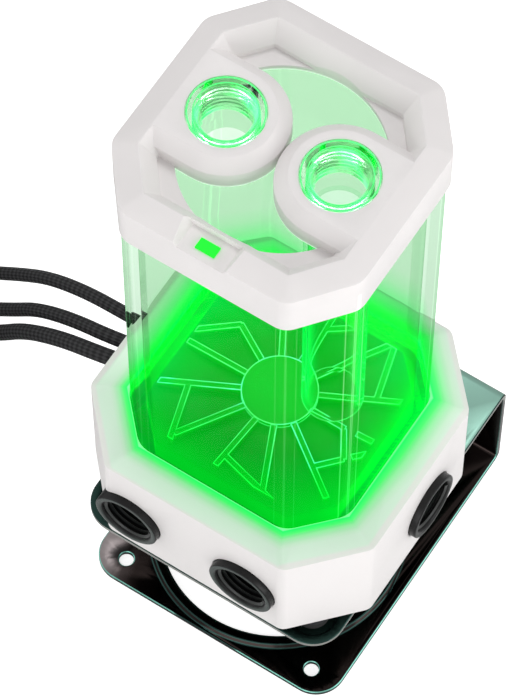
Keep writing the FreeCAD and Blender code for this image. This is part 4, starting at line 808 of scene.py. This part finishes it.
class RESERVOIR_OT_leads(bpy.types.Operator):
    """Lay the three sleeved leads, coil what is put away and tie the coils"""
    bl_idname = "reservoir.leads"
    bl_label = "Leads"

    def execute(self, context):
        for word, lead in LEADS.items():
            made = lead_curve(word, lead)
            made.data.materials.append(braid(word + "_sleeve", LEAD_LENGTHS[word]))
            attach(made, BODY)
            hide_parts(word + "_lead", word + "_lead_coil")
            tie = self.tie(word, lead)
        return {"FINISHED"}

    def tie(self, word, lead):
        """A flat strap once round the coil's stacked turns."""
        stacked = int(lead["turns"] - TIE_SHARE) + TIE_SHARE
        wide, high = lead["radius"] * 2.9, lead["radius"] * (2.5 + COIL_STEP * stacked)
        only()
        bpy.ops.mesh.primitive_cube_add(size=1, location=(0, 0, 0))
        made = named(bpy.context.object, word + "_coil_tie")
        bpy.ops.object.mode_set(mode="EDIT")
        bpy.ops.mesh.select_all(action="SELECT")
        bpy.ops.transform.resize(value=(wide, sizes().tie_width, high))
        pick(made, "FACE", lambda face: abs(face.normal.y) > 0.9)
        bpy.ops.mesh.delete(type="ONLY_FACE")
        bpy.ops.mesh.select_mode(type="VERT")
        bpy.ops.object.mode_set(mode="OBJECT")
        strap = made.modifiers.new("Strap", "SOLIDIFY")
        strap.thickness = mm(0.5)
        strap.offset = -1
        corners = made.modifiers.new("Corners", "BEVEL")
        corners.width = mm(0.4)
        corners.segments = 2
        apply_all(made)
        angle = math.radians(lead["start"]) + lead["side"] * TIE_ANGLE
        made.rotation_euler.z = angle
        made.location = (*on_coil(lead, angle), high / 2 + mm(0.02))
        return settle(made, "tie_plastic")


class RESERVOIR_OT_mouldings(bpy.types.Operator):
    """Round the edges of the white cap and skirt"""
    bl_idname = "reservoir.mouldings"
    bl_label = "White mouldings"

    def execute(self, context):
        middle = [((0, 0, 0), (1, 0, 0)), (mm(0, MIDDLE_Y, 0), (0, 1, 0))]
        for node, name, finish, level in (("top_cover", "cap_moulding", "moulded_white", CAP_WINDOW),
                                          ("base_cover", "skirt_moulding", "lit_white", PORT_LEVEL)):
            cuts = [*middle, (mm(0, 0, level), UP)]
            made = soften(merged_copy(node, name, cuts), sizes().edge_width, 14, 3)
            settle(made, finish, (node,))
        return {"FINISHED"}


class RESERVOIR_OT_bracket(bpy.types.Operator):
    """Round the bracket's sheet edges and give the rounds their own finish"""
    bl_idname = "reservoir.bracket"
    bl_label = "Bracket"

    def execute(self, context):
        made = merged_copy("bracket", "bracket_plating")
        settle(made, "black_chrome", ("bracket",))
        made.data.materials.append(FINISHES["chrome_edge"])
        soften(made, sizes().sheet_edge, 40, 2, rim=1)
        return {"FINISHED"}


class RESERVOIR_OT_tank_floor(bpy.types.Operator):
    """Trace the light that the ribs of the tank floor catch along their edges"""
    bl_idname = "reservoir.tank_floor"
    bl_label = "Tank floor"

    def execute(self, context):
        edges = merged_copy("floor_plate", "rib_edges")
        bpy.ops.object.mode_set(mode="EDIT")
        bpy.ops.mesh.select_mode(type="EDGE")
        bpy.ops.mesh.select_all(action="DESELECT")
        bpy.ops.mesh.edges_select_sharp(sharpness=math.radians(30))
        bpy.ops.mesh.select_all(action="INVERT")
        bpy.ops.mesh.delete(type="EDGE")
        pick(edges, "VERT", lambda spot: spot.co.z < RIB_TOPS)
        bpy.ops.mesh.delete(type="VERT")
        bpy.ops.object.mode_set(mode="OBJECT")
        bpy.ops.object.convert(target="CURVE")
        line = bpy.context.object
        line.data.bevel_depth = sizes().rib_edge / 2
        line.data.bevel_resolution = 1
        bpy.ops.object.convert(target="MESH")
        made = named(bpy.context.object, "rib_edges")
        settle(made, "rib_light")
        return {"FINISHED"}


# Beads of light on a neck: the end of their names, their radius, thickness and level.
NECK_BEADS = [("_neck_rim", 8.15, 0.16, 187.28), ("_neck_lip", 6.9, 0.12, 187.2)]


class RESERVOIR_OT_necks(bpy.types.Operator):
    """Seat the lid, thread its two necks and trace their lit rims and the drop tube's end"""
    bl_idname = "reservoir.necks"
    bl_label = "Lid necks"

    def execute(self, context):
        self.lid()
        for word, x in (("right", NECK_X), ("left", -NECK_X)):
            thread(word + "_neck_thread", UP, mm(x, MIDDLE_Y, NECK_TOP), "neck_ridge")
            for bead, radius, thick, level in NECK_BEADS:
                lit_ring(word + bead, mm(radius), mm(thick), mm(x, MIDDLE_Y, level), "neck_light")
        lit_ring("drop_tube_rim", mm(6.9), mm(0.11), mm(NECK_X, MIDDLE_Y, TUBE_END), "tube_light")
        return {"FINISHED"}

    def lid(self):
        """The lid with a hair of glue space below it, so that it doesn't share a plane with wall and tube."""
        made = merged_copy("tank_lid", "lid_plastic")
        pick(made, "VERT", lambda spot: spot.co.z < LID_UNDER)
        bpy.ops.transform.translate(value=(0, 0, mm(0.04)))
        bpy.ops.object.mode_set(mode="OBJECT")
        bpy.ops.object.shade_smooth_by_angle(angle=math.radians(30))
        settle(made, "neck_plastic", ("tank_lid",))


# The three side ports: the word that starts their names, their axis, their mouth and the collar's finish.
PORTS = [
    ("front_left", (0, -1, 0), mm(-17.6, -37.8, PORT_LEVEL), "port_front"),
    ("front_right", (0, -1, 0), mm(13.5, -37.8, PORT_LEVEL), "port_front"),
    ("side", (1, 0, 0), mm(39.9, 3.8, PORT_LEVEL), "port_side"),
]


class RESERVOIR_OT_ports(bpy.types.Operator):
    """Thread the three black ports and round their collars"""
    bl_idname = "reservoir.ports"
    bl_label = "Ports"

    def execute(self, context):
        for word, axis, mouth, finish in PORTS:
            node = word + "_port"
            thread(node + "_thread", axis, mouth, "port_bore")
            made = soften(merged_copy(node, node + "_collar"), mm(0.4), 40, 3)
            settle(made, finish, (node,))
        return {"FINISHED"}


# Camera, worked out from the object's own lines in the photograph: degrees, metres and a focal length in pixels.
CAMERA = {"azimuth": 32.92, "elevation": 62.68, "target": mm(-6.14, -1.03, 91.32), "away": mm(940.51),
          "focal": 4204.56}
FRAME_HEIGHT = 700
SENSOR = 36

# Soft boxes: name, place, side and power. They all face the middle of the object.
SOFT_BOXES = [
    ("front_box", (0.15, -0.95, 0.35), 0.7, 4.3),
    ("right_box", (0.95, 0.12, 0.35), 0.7, 5.0),
    ("left_box", (-0.9, -0.3, 0.5), 0.6, 1.2),
    ("back_box", (-0.28, 0.43, 1.1), 0.5, 3.0),
]
LIT_POINT = mm(0, 0, 100)

FLOOR_SIZE, FLOOR_BELOW = 12, mm(0.2)
# The white paper's own light for the eye and through glass, and the air's light on the object, with what is added
# to it for the eye and through glass, and for gloss.
PAPER_SEEN, PAPER_THROUGH = 0.78, 0.45
AIR, AIR_SEEN, AIR_MIRRORED = 0.47, 0.53, 0.45


class RESERVOIR_OT_studio(bpy.types.Operator):
    """Lay the white floor and set the lights, the world and the camera"""
    bl_idname = "reservoir.studio"
    bl_label = "Studio"

    def execute(self, context):
        self.floor()
        self.world()
        for soft_box in SOFT_BOXES:
            self.soft_box(*soft_box)
        self.camera()
        return {"FINISHED"}

    def aimed(self, name, data, at, towards):
        """Puts a light or a camera in the scene so that it looks along a direction."""
        made = bpy.data.objects.new(name, data)
        made.location = at
        made.rotation_mode = "QUATERNION"
        made.rotation_quaternion = towards.to_track_quat("-Z", "Y")
        bpy.context.scene.collection.objects.link(made)
        return made

    def soft_box(self, name, at, side, power):
        data = bpy.data.lights.new(name, "AREA")
        data.shape = "RECTANGLE"
        data.size = data.size_y = side
        data.energy = power
        self.aimed(name, data, at, Vector(LIT_POINT) - Vector(at))

    def floor(self):
        """White paper that shows white and keeps the object's shadow."""
        only()
        bpy.ops.mesh.primitive_plane_add(size=FLOOR_SIZE, location=(0, 0, -FLOOR_BELOW))
        made = named(bpy.context.object, "floor")
        paper = bpy.data.materials.new("white_paper")
        nodes = Nodes(paper)
        nodes.tree.nodes.clear()
        path = nodes.add("ShaderNodeLightPath").outputs
        diffuse, light = nodes.add("ShaderNodeBsdfDiffuse"), nodes.add("ShaderNodeEmission")
        nodes.feed(diffuse, "Color", (0.8, 0.8, 0.8))
        through = nodes.maths("MULTIPLY", path["Is Transmission Ray"], PAPER_THROUGH)
        nodes.feed(light, "Strength", nodes.maths("MULTIPLY_ADD", path["Is Camera Ray"], PAPER_SEEN, through))
        both = nodes.add("ShaderNodeAddShader")
        nodes.feed(both, 0, diffuse.outputs[0])
        nodes.feed(both, 1, light.outputs[0])
        nodes.feed(nodes.add("ShaderNodeOutputMaterial"), "Surface", both.outputs[0])
        made.data.materials.append(paper)

    def world(self):
        """Even air: white for the eye, through glass and in gloss, and dimmer as a light."""
        world = bpy.data.worlds.new("studio_air")
        bpy.context.scene.world = world
        nodes = Nodes(world)
        nodes.tree.nodes.clear()
        path = nodes.add("ShaderNodeLightPath").outputs
        air = nodes.add("ShaderNodeBackground")
        nodes.feed(air, "Color", WHITE)
        seen = nodes.maths("MAXIMUM", path["Is Camera Ray"], path["Is Transmission Ray"])
        power = nodes.maths("MULTIPLY_ADD", seen, AIR_SEEN, AIR)
        nodes.feed(air, "Strength", nodes.maths("MULTIPLY_ADD", path["Is Glossy Ray"], AIR_MIRRORED, power))
        nodes.feed(nodes.add("ShaderNodeOutputWorld"), "Surface", air.outputs[0])

    def camera(self):
        turn, rise = math.radians(CAMERA["azimuth"]), math.radians(CAMERA["elevation"])
        back = Vector((math.sin(turn) * math.cos(rise), -math.cos(turn) * math.cos(rise), math.sin(rise)))
        data = bpy.data.cameras.new("view")
        data.sensor_width = SENSOR
        data.lens = CAMERA["focal"] * SENSOR / FRAME_HEIGHT
        data.clip_start, data.clip_end = 0.01, 50
        at = Vector(CAMERA["target"]) + back * CAMERA["away"]
        bpy.context.scene.camera = self.aimed("view", data, at, -back)


class RESERVOIR_PT_panel(bpy.types.Panel):
    """Buttons for each piece, in the sidebar"""
    bl_idname = "RESERVOIR_PT_panel"
    bl_label = "Reservoir"
    bl_space_type = "VIEW_3D"
    bl_region_type = "UI"
    bl_category = "Reservoir"

    def draw(self, context):
        for operator in OPERATORS:
            self.layout.operator(operator.bl_idname)
        for holder in (context.scene.reservoir_sizes, context.scene.reservoir_colours):
            for name in holder.__annotations__:
                self.layout.prop(holder, name)


OPERATORS = [
    RESERVOIR_OT_finishes, RESERVOIR_OT_studio, RESERVOIR_OT_leads, RESERVOIR_OT_mouldings,
    RESERVOIR_OT_bracket, RESERVOIR_OT_tank_floor, RESERVOIR_OT_necks, RESERVOIR_OT_ports,
]
CLASSES = [ReservoirSizes, ReservoirColours, *OPERATORS, RESERVOIR_PT_panel]


def register():
    for each in CLASSES:
        bpy.utils.register_class(each)
    bpy.types.Scene.reservoir_sizes = bpy.props.PointerProperty(type=ReservoirSizes)
    bpy.types.Scene.reservoir_colours = bpy.props.PointerProperty(type=ReservoirColours)


def unregister():
    del bpy.types.Scene.reservoir_colours
    del bpy.types.Scene.reservoir_sizes
    for each in reversed(CLASSES):
        bpy.utils.unregister_class(each)


def main():
    """Dresses the part."""
    register()
    bpy.context.scene.view_settings.view_transform = "Standard"
    bpy.ops.reservoir.finishes()
    bpy.ops.reservoir.studio()
    bpy.ops.reservoir.leads()
    bpy.ops.reservoir.mouldings()
    bpy.ops.reservoir.bracket()
    bpy.ops.reservoir.tank_floor()
    bpy.ops.reservoir.necks()
    bpy.ops.reservoir.ports()


if __name__ == "__main__":
    main()
